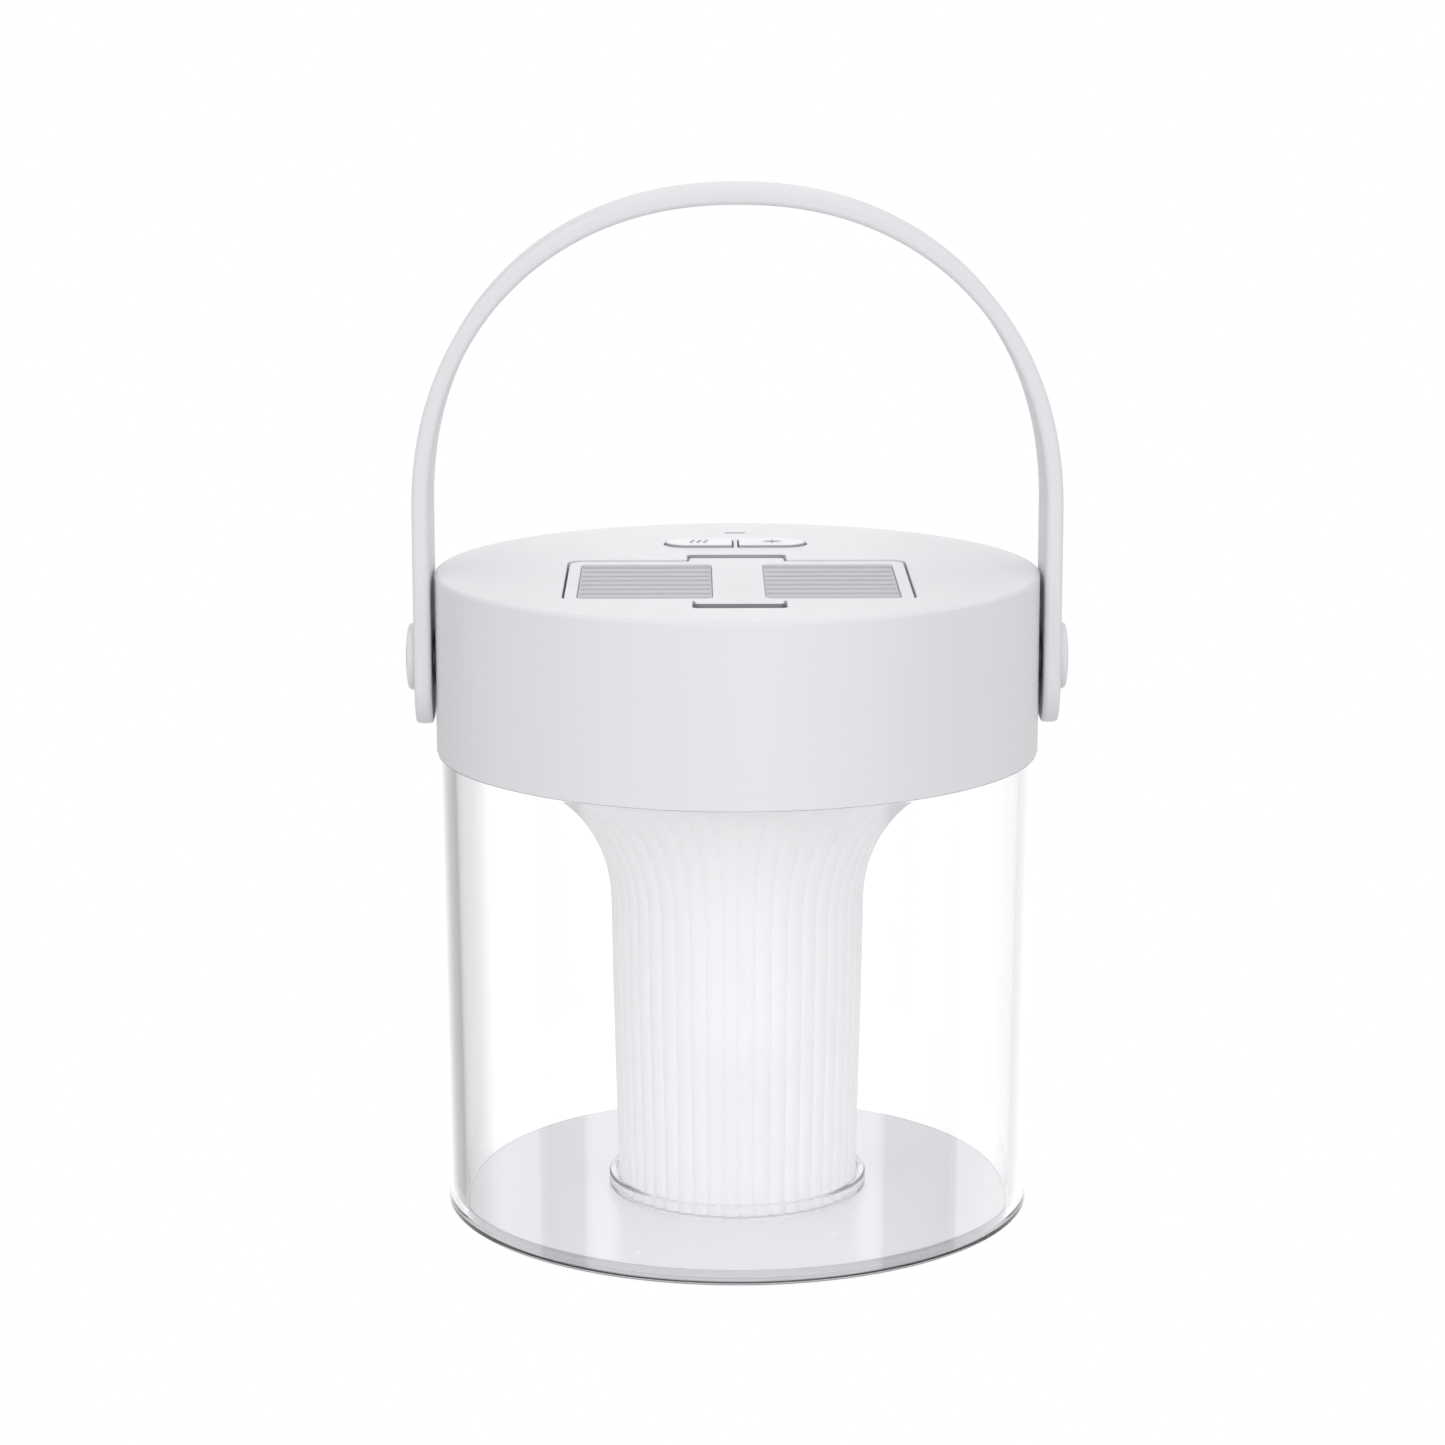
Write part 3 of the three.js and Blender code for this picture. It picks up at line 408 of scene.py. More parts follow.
def moulded(name, colour, roughness=0.42, spread=0.05, grain=3500, depth=0.004, tint=0.985, sheen=0.5):
    """Moulded plastic: a fine spark-eroded grain, with slight drifts of tone and gloss."""
    n = Nodes(name)
    drift = n.noise(35, 2)
    second = tuple(c * tint for c in colour)
    n.link(n.blend(drift, colour, second), n.shader.inputs["Base Color"])
    n.link(n.mapped(n.noise(220, 4), roughness - spread, roughness + spread), n.shader.inputs["Roughness"])
    n.bump(n.noise(grain, 2), 0.05, depth * MM)
    n.shader.inputs["IOR"].default_value = 1.5
    n.shader.inputs["Specular IOR Level"].default_value = sheen
    return n.material


def clear(name, tint=(0.985, 0.99, 0.995), shade=0.97):
    """Polished acrylic: a refracting solid with faint moulding waves, which lets lamp light through."""
    n = Nodes(name)
    shader = n.shader
    shader.inputs["Base Color"].default_value = (*tint, 1)
    shader.inputs["Transmission Weight"].default_value = 1
    shader.inputs["IOR"].default_value = 1.49
    shader.inputs["Roughness"].default_value = 0
    n.bump(n.noise(60, 3), 0.02, 0.02 * MM)
    through = n.add("ShaderNodeBsdfTransparent")
    through.inputs["Color"].default_value = (shade, shade, shade, 1)
    rays = n.add("ShaderNodeLightPath")
    either = n.add("ShaderNodeMath", operation="MAXIMUM")
    n.link(rays.outputs["Is Shadow Ray"], either.inputs[0])
    n.link(rays.outputs["Is Diffuse Ray"], either.inputs[1])
    mix = n.add("ShaderNodeMixShader")
    n.link(either.outputs[0], mix.inputs[0])
    n.link(shader.outputs[0], mix.inputs[1])
    n.link(through.outputs[0], mix.inputs[2])
    n.link(mix.outputs[0], n.output.inputs["Surface"])
    return n.material


def frosted(name, colour, glow, transmission=0.35, roughness=0.5):
    """Frosted plastic that passes light softly."""
    n = Nodes(name)
    drift = n.noise(50, 2)
    n.link(n.blend(drift, colour, tuple(c * 0.985 for c in colour)), n.shader.inputs["Base Color"])
    n.link(n.mapped(n.noise(300, 3), roughness - 0.05, roughness + 0.05), n.shader.inputs["Roughness"])
    n.shader.inputs["Transmission Weight"].default_value = transmission
    n.shader.inputs["IOR"].default_value = 1.3
    n.shader.inputs["Emission Color"].default_value = (1.0, 0.985, 0.96, 1)
    n.shader.inputs["Emission Strength"].default_value = glow
    n.bump(n.noise(2600, 2), 0.15, 0.004 * MM)
    return n.material


def metal(name, colour, roughness=0.32, stretch=(1, 1, 12)):
    """Plated or rolled metal with fine drawn lines."""
    n = Nodes(name)
    n.shader.inputs["Metallic"].default_value = 1
    lines = n.noise(900, 3, stretch)
    n.link(n.blend(lines, colour, tuple(c * 0.86 for c in colour)), n.shader.inputs["Base Color"])
    n.link(n.mapped(lines, roughness - 0.08, roughness + 0.1), n.shader.inputs["Roughness"])
    n.bump(lines, 0.2, 0.01 * MM)
    return n.material


def pressed_paper(name, colour):
    """The repellent mat: pressed fibre with a mottled dye."""
    n = Nodes(name)
    fibre = n.noise(900, 6, (1, 2.2, 1))
    n.link(n.blend(fibre, colour, tuple(c * 0.8 for c in colour)), n.shader.inputs["Base Color"])
    n.shader.inputs["Roughness"].default_value = 0.95
    n.bump(fibre, 0.6, 0.12 * MM)
    return n.material


def solder_mask(name):
    """A circuit board: green mask over faint copper tracks, with bare pads."""
    n = Nodes(name)
    tracks = n.add("ShaderNodeTexBrick", Scale=420)
    n.link(n.place, tracks.inputs["Vector"])
    tracks.inputs["Color1"].default_value = (0.02, 0.14, 0.07, 1)
    tracks.inputs["Color2"].default_value = (0.03, 0.19, 0.09, 1)
    tracks.inputs["Mortar"].default_value = (0.05, 0.26, 0.12, 1)
    n.link(tracks.outputs["Color"], n.shader.inputs["Base Color"])
    n.link(n.mapped(n.noise(400, 2), 0.3, 0.42), n.shader.inputs["Roughness"])
    n.bump(tracks.outputs["Fac"], 0.3, 0.02 * MM)
    return n.material


WHITE = (0.80, 0.795, 0.82)
M_HEAD = moulded("white_shell", WHITE, 0.42)
M_BASE = moulded("base_white", (0.9, 0.9, 0.92), 0.25)
# painted shade: grey for the white base plate's side face, which sits in shade
M_BASE_SIDE_PAINTED_SHADE = moulded("base_side_painted_shade", (0.5, 0.5, 0.52), 0.5)
M_HANDLE = moulded("handle_white", (0.79, 0.785, 0.81), 0.45, sheen=0.12)
M_LID = moulded("lid_white", WHITE, 0.42)
M_GRILLE = moulded("grille_grey", (0.56, 0.56, 0.58), 0.5)
M_BUTTON = moulded("button_white", (0.82, 0.815, 0.84), 0.36)
# painted shade: grey for the keys' side faces and the back finger pocket's wall, which stand in shade
M_SIDE_PAINTED_SHADE = moulded("key_side_painted_shade", (0.42, 0.42, 0.44), 0.5)
# painted shade: dark grey for the front tab's face down in its finger pocket
M_SHADE = moulded("pocket_painted_shade", (0.26, 0.26, 0.27), 0.6)
M_PRINT = moulded("symbol_grey", (0.33, 0.33, 0.35), 0.5)
M_CLEAR = clear("clear_acrylic")
# the diffuser's own emission is a painted glow, standing in for the light tube's light scattered through the
# shade
M_DIFFUSER = frosted("frosted_flutes", (0.87, 0.87, 0.89), 0.1, 0.25, 0.4)
M_TUBE = frosted("opal_tube", (0.95, 0.95, 0.94), 0.75, 0.0, 0.5)
M_LENS = frosted("indicator_opal", (0.35, 0.35, 0.37), 0.0, 0.1, 0.4)
M_RUBBER = moulded("pad_rubber", (0.42, 0.42, 0.43), 0.8, 0.06, 1800, 0.02)
M_SCREW = metal("zinc_screw", (0.62, 0.62, 0.63))
M_SHEET = metal("sheet_steel", (0.66, 0.66, 0.67), 0.3, (8, 1, 1))
M_ALUMINIUM = metal("heater_aluminium", (0.74, 0.75, 0.76), 0.36, (1, 14, 1))
M_WASHER = moulded("washer_acetal", (0.035, 0.035, 0.04), 0.45)
M_CERAMIC = moulded("ceramic", (0.7, 0.66, 0.58), 0.75, 0.05, 1500, 0.02)
M_MAT = pressed_paper("repellent_mat", (0.42, 0.53, 0.72))
M_SWITCH = moulded("switch_black", (0.03, 0.03, 0.033), 0.4)
M_WRAP = moulded("battery_wrap", (0.16, 0.22, 0.32), 0.35, 0.06, 900, 0.02)
M_TRAY = moulded("tray_grey", (0.42, 0.42, 0.43), 0.6, 0.06, 1600, 0.015, 0.93)
M_BOARD = solder_mask("solder_mask")

# ---- head ---------------------------------------------------------------------------------------------
GROOVE = 0.35
BUTTON_Y = (BUTTON_LOW.y + BUTTON_HIGH.y) / 2
BUTTON_LIP = 0.7
BUTTON_WEB = 0.3 # half the width of the head's web between the buttons
PILL_HALF_X = BUTTON_HIGH.x - BUTTON_LIP
PILL_HALF_Y = (BUTTON_HIGH.y - BUTTON_LOW.y) / 2 - BUTTON_LIP
BUTTON_SPLIT = BUTTON_LOW.x
LID_HALF_X = LID_HIGH.x
LID_Y0 = -29.3
LID_Y1 = 9.0
LID_CORNER = 2.5
TAB_THICK = 1.2
BACK_TAB_X = 8.0
FRONT_TAB_X = 7.1
BACK_ROOM = 2.7 # the finger pockets' length beyond each tab
FRONT_ROOM = 5.0
POCKET_CORNER = 1.1
WINDOW_X0 = GRILLE_LOW.x + 1.0
WINDOW_X1 = 25.9
WINDOW_Y0 = GRILLE_LOW.y + 0.5
WINDOW_Y1 = 5.9
WASHER_R = WASHER_HIGH.y
SCREW_HOLE_R = 1.8
CRADLE_THICK = 1.4 # the ribs round the battery
CRADLE_HALF = 8
LEDGE = 2.3 # how far the shoulder over the jar's neck stands in from the wall
PIVOT_BOSS_R = 4
PIVOT_BOSS_X = 39.5
PIVOT_BOSS_BITE = 0.7 # how far the pivot's boss runs into the wall
PIVOT_HOLE_X = 41.2
INLET_DEPTH = 44 # how far from the axis the charging inlet's cut starts
INDICATOR_Y = 38.5 # where the indicator shows, a little off the middle of its box
SLOT_HALF_Y = 0.6
LENS_HALF_X = 1.5
LENS_HALF_Y = 0.3


def pill(grow=0.0, steps=24):
    reach_x = PILL_HALF_X + grow
    reach_y = PILL_HALF_Y + grow
    return rectangle(-reach_x, reach_x, BUTTON_Y - reach_y, BUTTON_Y + reach_y, reach_y * 0.999, steps)


def back_pocket():
    half = BACK_TAB_X + GROOVE
    return rectangle(-half, half, LID_Y1 - 1, LID_HIGH.y + BACK_ROOM, POCKET_CORNER, 8)


def front_pocket():
    half = FRONT_TAB_X + GROOVE
    return rectangle(-half, half, LID_LOW.y - FRONT_ROOM, LID_Y0 + 1, POCKET_CORNER, 8)


def centres(names):
    """The plan positions of screws, from their boxes."""
    out = []
    for name in names:
        low, high = span(name)
        out.append(((low.x + high.x) / 2, (low.y + high.y) / 2, high.z))
    return out


HEAD_SCREWS = centres([f"head_screw_{i}" for i in range(1, 5)])
BOARD_SCREWS = centres([f"board_screw_{i}" for i in range(1, 5)])
TRAY_SCREWS = centres(["tray_screw_left", "tray_screw_right"])

# Each kind of screw: its places, boss radius and foot, hole radius and foot, and room over the screw's top.
SCREW_KINDS = [
    (HEAD_SCREWS, 3, 84, 1.5, 83, GAP),
    (BOARD_SCREWS, 2.6, 99.9, 1.3, 99, 0.6),
    (TRAY_SCREWS, 3, 101.4, 1.3, 101, 0.6),
]


def head_bosses(inner):
    bosses = []
    for places, boss_r, boss_z, _, _, _ in SCREW_KINDS:
        bosses += [bar(x, y, boss_r, boss_z, CEILING + 1) for x, y, _ in places]
    for side in (-1, 1):
        bosses.append(turned_to_x(bar(0, 0, PIVOT_BOSS_R, PIVOT_BOSS_X, inner + PIVOT_BOSS_BITE), side))
    return merged(bosses)


def head_holes():
    holes = []
    for places, _, _, hole_r, hole_z, room in SCREW_KINDS:
        holes += [bar(x, y, hole_r, hole_z, top + room) for x, y, top in places]
    for side in (-1, 1):
        holes.append(turned_to_x(bar(0, 0, SCREW_HOLE_R, PIVOT_HOLE_X, HEAD_R + 1), side))
    return merged(holes)


def washer_seats():
    seats = []
    for side in (-1, 1):
        seats.append(turned_to_x(bar(0, 0, WASHER_R + GAP, WASHER_LOW.x - GAP, HEAD_R + 1, 64), side))
    return merged(seats)


def top_openings():
    """Cutters for the lid, the buttons, the indicator and the two finger pockets."""
    lid_hole = rectangle(-LID_HALF_X, LID_HALF_X, LID_Y0, LID_Y1, LID_CORNER, 10)
    button_hole = opening(pill(GROOVE), CEILING - 1, HEAD_Z1, 0.15)
    combine(button_hole, "DIFFERENCE", [brick(-BUTTON_WEB, BUTTON_WEB, 0, FAR, UNDER_TOP, OVER_TOP)])
    half = INDICATOR_HIGH.x - 0.6
    slot = rectangle(-half, half, INDICATOR_Y - SLOT_HALF_Y, INDICATOR_Y + SLOT_HALF_Y, 0.3, 4)
    cutters = [
        opening(grown(lid_hole, GROOVE), CEILING - 1, HEAD_Z1, 0.1),
        button_hole,
        opening(slot, CEILING - 1, HEAD_Z1, 0.12),
    ]
    pocket = LID_HIGH.z - TAB_THICK - 0.4
    for outline in (back_pocket(), front_pocket()):
        cutters.append(opening(outline, pocket, HEAD_Z1, 0.15))
    return cutters


def charging_inlet():
    half_x = USB_HIGH.x + GAP
    half_z = (USB_HIGH.z - USB_LOW.z) / 2 + GAP
    mouth = rectangle(-half_x, half_x, -half_z, half_z, half_z * 0.99, 10)
    inlet = opening(mouth, INLET_DEPTH, HEAD_R, 0.3)
    turn = Matrix.Rotation(math.radians(-90), 4, "X")
    inlet.data.transform(Matrix.Translation((0, 0, (USB_LOW.z + USB_HIGH.z) / 2 * MM)) @ turn)
    return inlet


def head_shell():
    shoulder = JAR_HIGH.z + GAP
    inner = HEAD_R - HEAD_WALL
    skirt = HEAD_R - SKIRT_WALL
    shell = lathe("head_shell_skin", [
        (0, HEAD_Z1, 0),
        (HEAD_R, HEAD_Z1, 0.6),
        (HEAD_R, HEAD_Z0, 0.06),
        (skirt, HEAD_Z0, 0.1),
        (skirt, shoulder, 0),
        (inner - LEDGE, shoulder, 0.3),
        (inner - LEDGE, shoulder + 1, 0.3),
        (inner, shoulder + 1 + LEDGE, 0.5),
        (inner, CEILING, 0.8),
        (0, CEILING, 0),
    ], 240, 7)
    combine(shell, "UNION", [head_bosses(inner)])
    combine(shell, "DIFFERENCE", top_openings())
    combine(shell, "DIFFERENCE", [head_holes()])
    combine(shell, "DIFFERENCE", [washer_seats()])
    combine(shell, "DIFFERENCE", [charging_inlet()])
    even_shading(shell)
    show(shell, "lantern", "white_shell", M_HEAD, "head_shell")


FLOOR_BORE_R = 6
SOCKET_DEPTH = 4 # the light tube's socket hangs this far below the floor's plate
SOCKET_WALL = 1.5
FLOOR_THICK = 2.4


def head_floor():
    socket_r = TUBE_HIGH.x + GAP
    under = FLOOR_LOW.z + SOCKET_DEPTH
    cover = lathe("head_floor_cover", [
        (FLOOR_BORE_R, under, 0.3),
        (socket_r, under, 0.3),
        (socket_r, FLOOR_LOW.z, 0.3),
        (socket_r + SOCKET_WALL, FLOOR_LOW.z, 0.4),
        (socket_r + SOCKET_WALL, under, 0.6),
        (FLOOR_HIGH.x, under, 0.5),
        (FLOOR_HIGH.x, under + FLOOR_THICK, 0.3),
        (FLOOR_BORE_R, under + FLOOR_THICK, 0.3),
    ], 160)
    ribs = []
    z0, z1 = FLOOR_LOW.z + 6, FLOOR_HIGH.z
    for side in (-1, 1):
        near_x = BATTERY_HIGH.x + GAP
        near_y = BATTERY_HIGH.y + GAP
        x0, x1 = sorted((side * near_x, side * (near_x + CRADLE_THICK)))
        y0, y1 = sorted((side * near_y, side * (near_y + CRADLE_THICK)))
        ribs.append(brick(x0, x1, -CRADLE_HALF, CRADLE_HALF, z0, z1))
        ribs.append(brick(-CRADLE_HALF, CRADLE_HALF, y0, y1, z0, z1))
    combine(cover, "UNION", [merged(ribs)])
    holes = [bar(x, y, 2.7, FLOOR_LOW.z + 3, FLOOR_LOW.z + 5.3) for x, y, _ in HEAD_SCREWS]
    combine(cover, "DIFFERENCE", [merged(holes)])
    even_shading(cover)
    show(cover, "lantern", "white_shell", M_HEAD, "head_floor")


# ---- jar, base and diffuser ---------------------------------------------------------------------------
JAR_WALL = 2.9
JAR_TAPER = 0.9 # how much wider the jar is under the head than at its foot
LIP_R = 43.2 # the inner radius of the lip at the jar's top
LIP_THICK = 1.6


def clear_jar():
    foot_r = JAR_HIGH.x - JAR_TAPER
    shoulder = HEAD_Z0 - HAIRLINE
    neck = HEAD_R - SKIRT_WALL - GAP
    neck_in = JAR_HIGH.x - JAR_WALL
    lip = JAR_HIGH.z - LIP_THICK
    jar = lathe("jar_wall", [
        (foot_r, JAR_LOW.z, 0.3),
        (JAR_HIGH.x, shoulder, 0.03),
        (neck, shoulder, 0.1),
        (neck, JAR_HIGH.z, 0.2),
        (LIP_R, JAR_HIGH.z, 0.2),
        (LIP_R, lip, 0.2),
        (neck_in, lip, 0.4),
        (neck_in, HEAD_Z0, 0),
        (foot_r - JAR_WALL, JAR_LOW.z, 0.4),
    ], 256, 6, 60)
    show(jar, "lantern", "clear_acrylic", M_CLEAR, "clear_jar")


def base_plate():
    plate = lathe("base_disc", [
        (0, BASE_LOW.z, 0),
        (BASE_HIGH.x, BASE_LOW.z, 0.15),
        (BASE_HIGH.x, BASE_HIGH.z, 0.25),
        (0, BASE_HIGH.z, 0),
    ], 192)
    show(plate, "lantern", "base", M_BASE, "base_plate")
    # a grey liner round the base plate's white side: painted shade, since that face sits in shade
    edge = lathe("base_side", [
        (BASE_HIGH.x - 0.2, BASE_LOW.z + 0.1, 0.02),
        (BASE_HIGH.x + LINER, BASE_LOW.z + 0.1, 0.02),
        (BASE_HIGH.x + LINER, BASE_HIGH.z - 0.02, 0.02),
        (BASE_HIGH.x - 0.2, BASE_HIGH.z - 0.02, 0.02),
    ], 192, 2)
    show(edge, "lantern", "base", M_BASE_SIDE_PAINTED_SHADE)
    for i in range(1, 5):
        low, high = span(f"foot_pad_{i}")
        r = (high.x - low.x) / 2
        pad = lathe(f"pad_{i}", [(0, low.z, 0), (r, low.z, 0.2), (r, high.z, 0.05), (0, high.z, 0)], 48)
        pad.data.transform(Matrix.Translation(((low.x + r) * MM, (low.y + r) * MM, 0)))
        show(pad, "lantern", "pad_rubber", M_RUBBER, f"foot_pad_{i}")


FLUTES = 48
FLUTE_DEPTH = 0.5
FLUTE_POINTS = 12 # points across each flute
FLUTE_ROUND = 0.93 # how much of a half circle each flute's section takes
DIFFUSER_WALL = 1.2
FLARE_R = 24
FLARE_END = 80 # degrees of the flare's arc
NECK_R = 21.2
NECK_Z = 51.4
FOOT_R = 20.1
MID_R = 20.95
MID_Z = 36


def diffuser_line():
    """The diffuser's outer line from the foot up, as (radius, height, outward normal)."""
    line = []
    foot_z = DIFFUSER_LOW.z
    for i in range(9):
        z = foot_z + (MID_Z - foot_z) * i / 9
        line.append((FOOT_R + (MID_R - FOOT_R) * i / 9, z, (1, 0)))
    for i in range(5):
        line.append((MID_R + (NECK_R - MID_R) * i / 5, MID_Z + (NECK_Z - MID_Z) * i / 5, (1, 0)))
    for i in range(25):
        a = math.radians(FLARE_END * i / 24)
        r = NECK_R + FLARE_R * (1 - math.cos(a))
        line.append((r, NECK_Z + FLARE_R * math.sin(a), (math.cos(a), -math.sin(a))))
    return line


def flute(u):
    """Height of a rib at u from -1 to 1 across it: round on top, a crease at each side."""
    foot = math.sqrt(1 - FLUTE_ROUND * FLUTE_ROUND)
    return (math.sqrt(1 - (FLUTE_ROUND * u) ** 2) - foot) / (1 - foot)


def circle(r, z, count):
    turns = [2 * math.pi * i / count for i in range(count)]
    return [(r * math.cos(a), r * math.sin(a), z) for a in turns]


def fluted_ring(r, z, outward):
    """One ring of the diffuser's outer face, with the flutes cut in from radius r."""
    nr, nz = outward
    count = FLUTES * FLUTE_POINTS
    ring = []
    for i in range(count):
        across = 2 * (i % FLUTE_POINTS) / FLUTE_POINTS - 1
        depth = FLUTE_DEPTH * (1 - flute(across)) * (r / NECK_R) ** 0.5
        a = 2 * math.pi * i / count
        rr = r - depth * nr
        ring.append((rr * math.cos(a), rr * math.sin(a), z - depth * nz))
    return ring


def diffuser():
    line = diffuser_line()
    count = FLUTES * FLUTE_POINTS
    rings = [fluted_ring(r, z, outward) for r, z, outward in line]
    end_r = line[-1][0]
    rim_z = DIFFUSER_HIGH.z
    rings.append(circle(DIFFUSER_HIGH.x - 0.1, line[-1][1] + 0.6, count))
    rings.append(circle(DIFFUSER_HIGH.x - 0.1, rim_z, count))
    rings.append(circle(end_r - 0.2, rim_z, count))
    for r, z, (nr, nz) in reversed(line):
        rings.append(circle(r - DIFFUSER_WALL * nr, z - DIFFUSER_WALL * nz, count))
    piece = new_piece("fluted_diffuser", skin(rings, closed=True), 50)
    show(piece, "lantern", "frosted_diffuser", M_DIFFUSER, "diffuser")

    inner = FOOT_R + 0.35
    ring = lathe("foot_collar", [
        (inner, BASE_HIGH.z + HAIRLINE, 0.1),
        (COLLAR_HIGH.x, BASE_HIGH.z + HAIRLINE, 0.15),
        (COLLAR_HIGH.x, COLLAR_HIGH.z, 0.4),
        (inner, COLLAR_HIGH.z, 0.2),
    ], 192, 5, 60)
    show(ring, "lantern", "clear_acrylic", M_CLEAR, "diffuser_collar")

    wall = 1.2
    tube = lathe("opal_light_tube", [
        (0, TUBE_LOW.z, 0),
        (TUBE_HIGH.x, TUBE_LOW.z, 3),
        (TUBE_HIGH.x, TUBE_HIGH.z, 0.3),
        (TUBE_HIGH.x - wall, TUBE_HIGH.z, 0.3),
        (TUBE_HIGH.x - wall, TUBE_LOW.z + wall, 1.8),
        (0, TUBE_LOW.z + wall, 0),
    ], 96, 8)
    show(tube, "lantern", "light_core", M_TUBE, "light_tube")


# ---- handle -------------------------------------------------------------------------------------------
STRAP_THICK = 2.8
ARCH_Z = 117.2 # height at which the legs end and the arch starts
ARCH_POWER = 2.16 # 2 would be an ellipse, and more is squarer
STRAP_ROUND = 0.9 # the rounding of the strap's long edges
TIP_STEPS = 20
LEG_STEPS = 8
ARCH_STEPS = 120
CAP_DOME = 9 # degrees from the cap's centre to its shoulder
CAP_SEAT = 1.0 # the depth of the cap's seat in the strap
CAP_SHOULDER = 0.7 # from the dome's edge to the cap's side
CAP_STEPS = 8
HEAD_ROOM_R = 3.4 # the hollow under the cap that holds the screw's head
HEAD_ROOM = 1.5


def arch_points(half_x, rise, count):
    points = []
    for i in range(count + 1):
        a = math.pi - math.pi * i / count
        x = math.copysign(abs(math.cos(a)) ** (2 / ARCH_POWER), math.cos(a)) * half_x
        points.append((x, ARCH_Z + rise * max(math.sin(a), 0) ** (2 / ARCH_POWER)))
    return points


def strap_section(centre, outward, half_width, inset):
    """A ring of points round the strap: its thickness along outward, its width along Y."""
    half = STRAP_THICK / 2 - inset
    r = min(STRAP_ROUND, half_width * 0.9)
    outline = rectangle(-half, half, -half_width, half_width, r, 5)
    ring = []
    for a, b in outline:
        ring.append((centre[0] + outward[0] * a, b, centre[1] + outward[1] * a))
    return ring


def carry_handle():
    half_width = STRAP_HIGH.y
    half_x = STRAP_HIGH.x - STRAP_THICK / 2
    rise = STRAP_HIGH.z - ARCH_Z - STRAP_THICK / 2
    tip_z = STRAP_LOW.z
    leg = []
    for i in range(TIP_STEPS):
        a = math.radians(90 * (i + 0.35) / TIP_STEPS)
        leg.append(tip_z + half_width * (1 - math.cos(a)))
    straight = ARCH_Z - tip_z - half_width
    leg += [tip_z + half_width + straight * i / LEG_STEPS for i in range(LEG_STEPS)]
    path = [(-half_x, z) for z in leg] + arch_points(half_x, rise, ARCH_STEPS)
    path += [(half_x, z) for z in reversed(leg)]
    rings = []
    for i, (x, z) in enumerate(path):
        before = Vector(path[max(i - 1, 0)])
        after = Vector(path[min(i + 1, len(path) - 1)])
        along = (after - before).normalized()
        outward = (-along.y, along.x)
        width = half_width
        drop = tip_z + half_width - z
        if drop > 0:
            width = math.sqrt(max(half_width ** 2 - drop ** 2, 0.01))
        short = max(STRAP_ROUND - (z - tip_z), 0)
        inset = STRAP_ROUND - math.sqrt(STRAP_ROUND ** 2 - short ** 2)
        rings.append(strap_section((x, z), outward, width, inset))
    strap = new_piece("strap_handle", skin(rings), 40)
    seats = []
    for side in (-1, 1):
        outer = STRAP_HIGH.x
        seat = bar(0, 0, CAP_HIGH.y + GAP, outer - CAP_SEAT, outer + 2, 96)
        hole = bar(0, 0, SCREW_HOLE_R, outer - 2 * STRAP_THICK, outer, 48)
        seats += [turned_to_x(seat, side), turned_to_x(hole, side)]
    combine(strap, "DIFFERENCE", seats, 40)
    even_shading(strap)
    show(strap, "handle", "handle_plastic", M_HANDLE, "carry_handle")
    for side, word in ((-1, "left"), (1, "right")):
        pivot_cap(side, word)


def pivot_cap(side, word):
    r = CAP_HIGH.y
    top = CAP_HIGH.x
    seat = CAP_LOW.x
    dome = [(0, top, 0)]
    sphere = (r - CAP_SHOULDER) / math.sin(math.radians(CAP_DOME))
    for i in range(1, CAP_STEPS + 1):
        a = math.radians(CAP_DOME * i / CAP_STEPS)
        dome.append((sphere * math.sin(a), top - sphere * (1 - math.cos(a)), 0))
    edge_r, edge_z, _ = dome[-1]
    cap = lathe(f"pivot_dome_{word}", dome + [
        (edge_r + 0.4, edge_z - 0.12, 0.15),
        (r, edge_z - 0.55, 0.25),
        (r, seat, 0.1),
        (HEAD_ROOM_R, seat, 0.1),
        (HEAD_ROOM_R, seat + HEAD_ROOM, 0.1),
        (0, seat + HEAD_ROOM, 0),
    ], 96)
    turned_to_x(cap, side)
    show(cap, "handle", "handle_plastic", M_HANDLE, f"pivot_cap_{word}")


# ---- lid ----------------------------------------------------------------------------------------------
SLOT_FIRST = 4.5 # Y of the rearmost slot
SLOT_PITCH = 4.19
SLOT_COUNT = 8
SLOT_WIDTH = 1.1


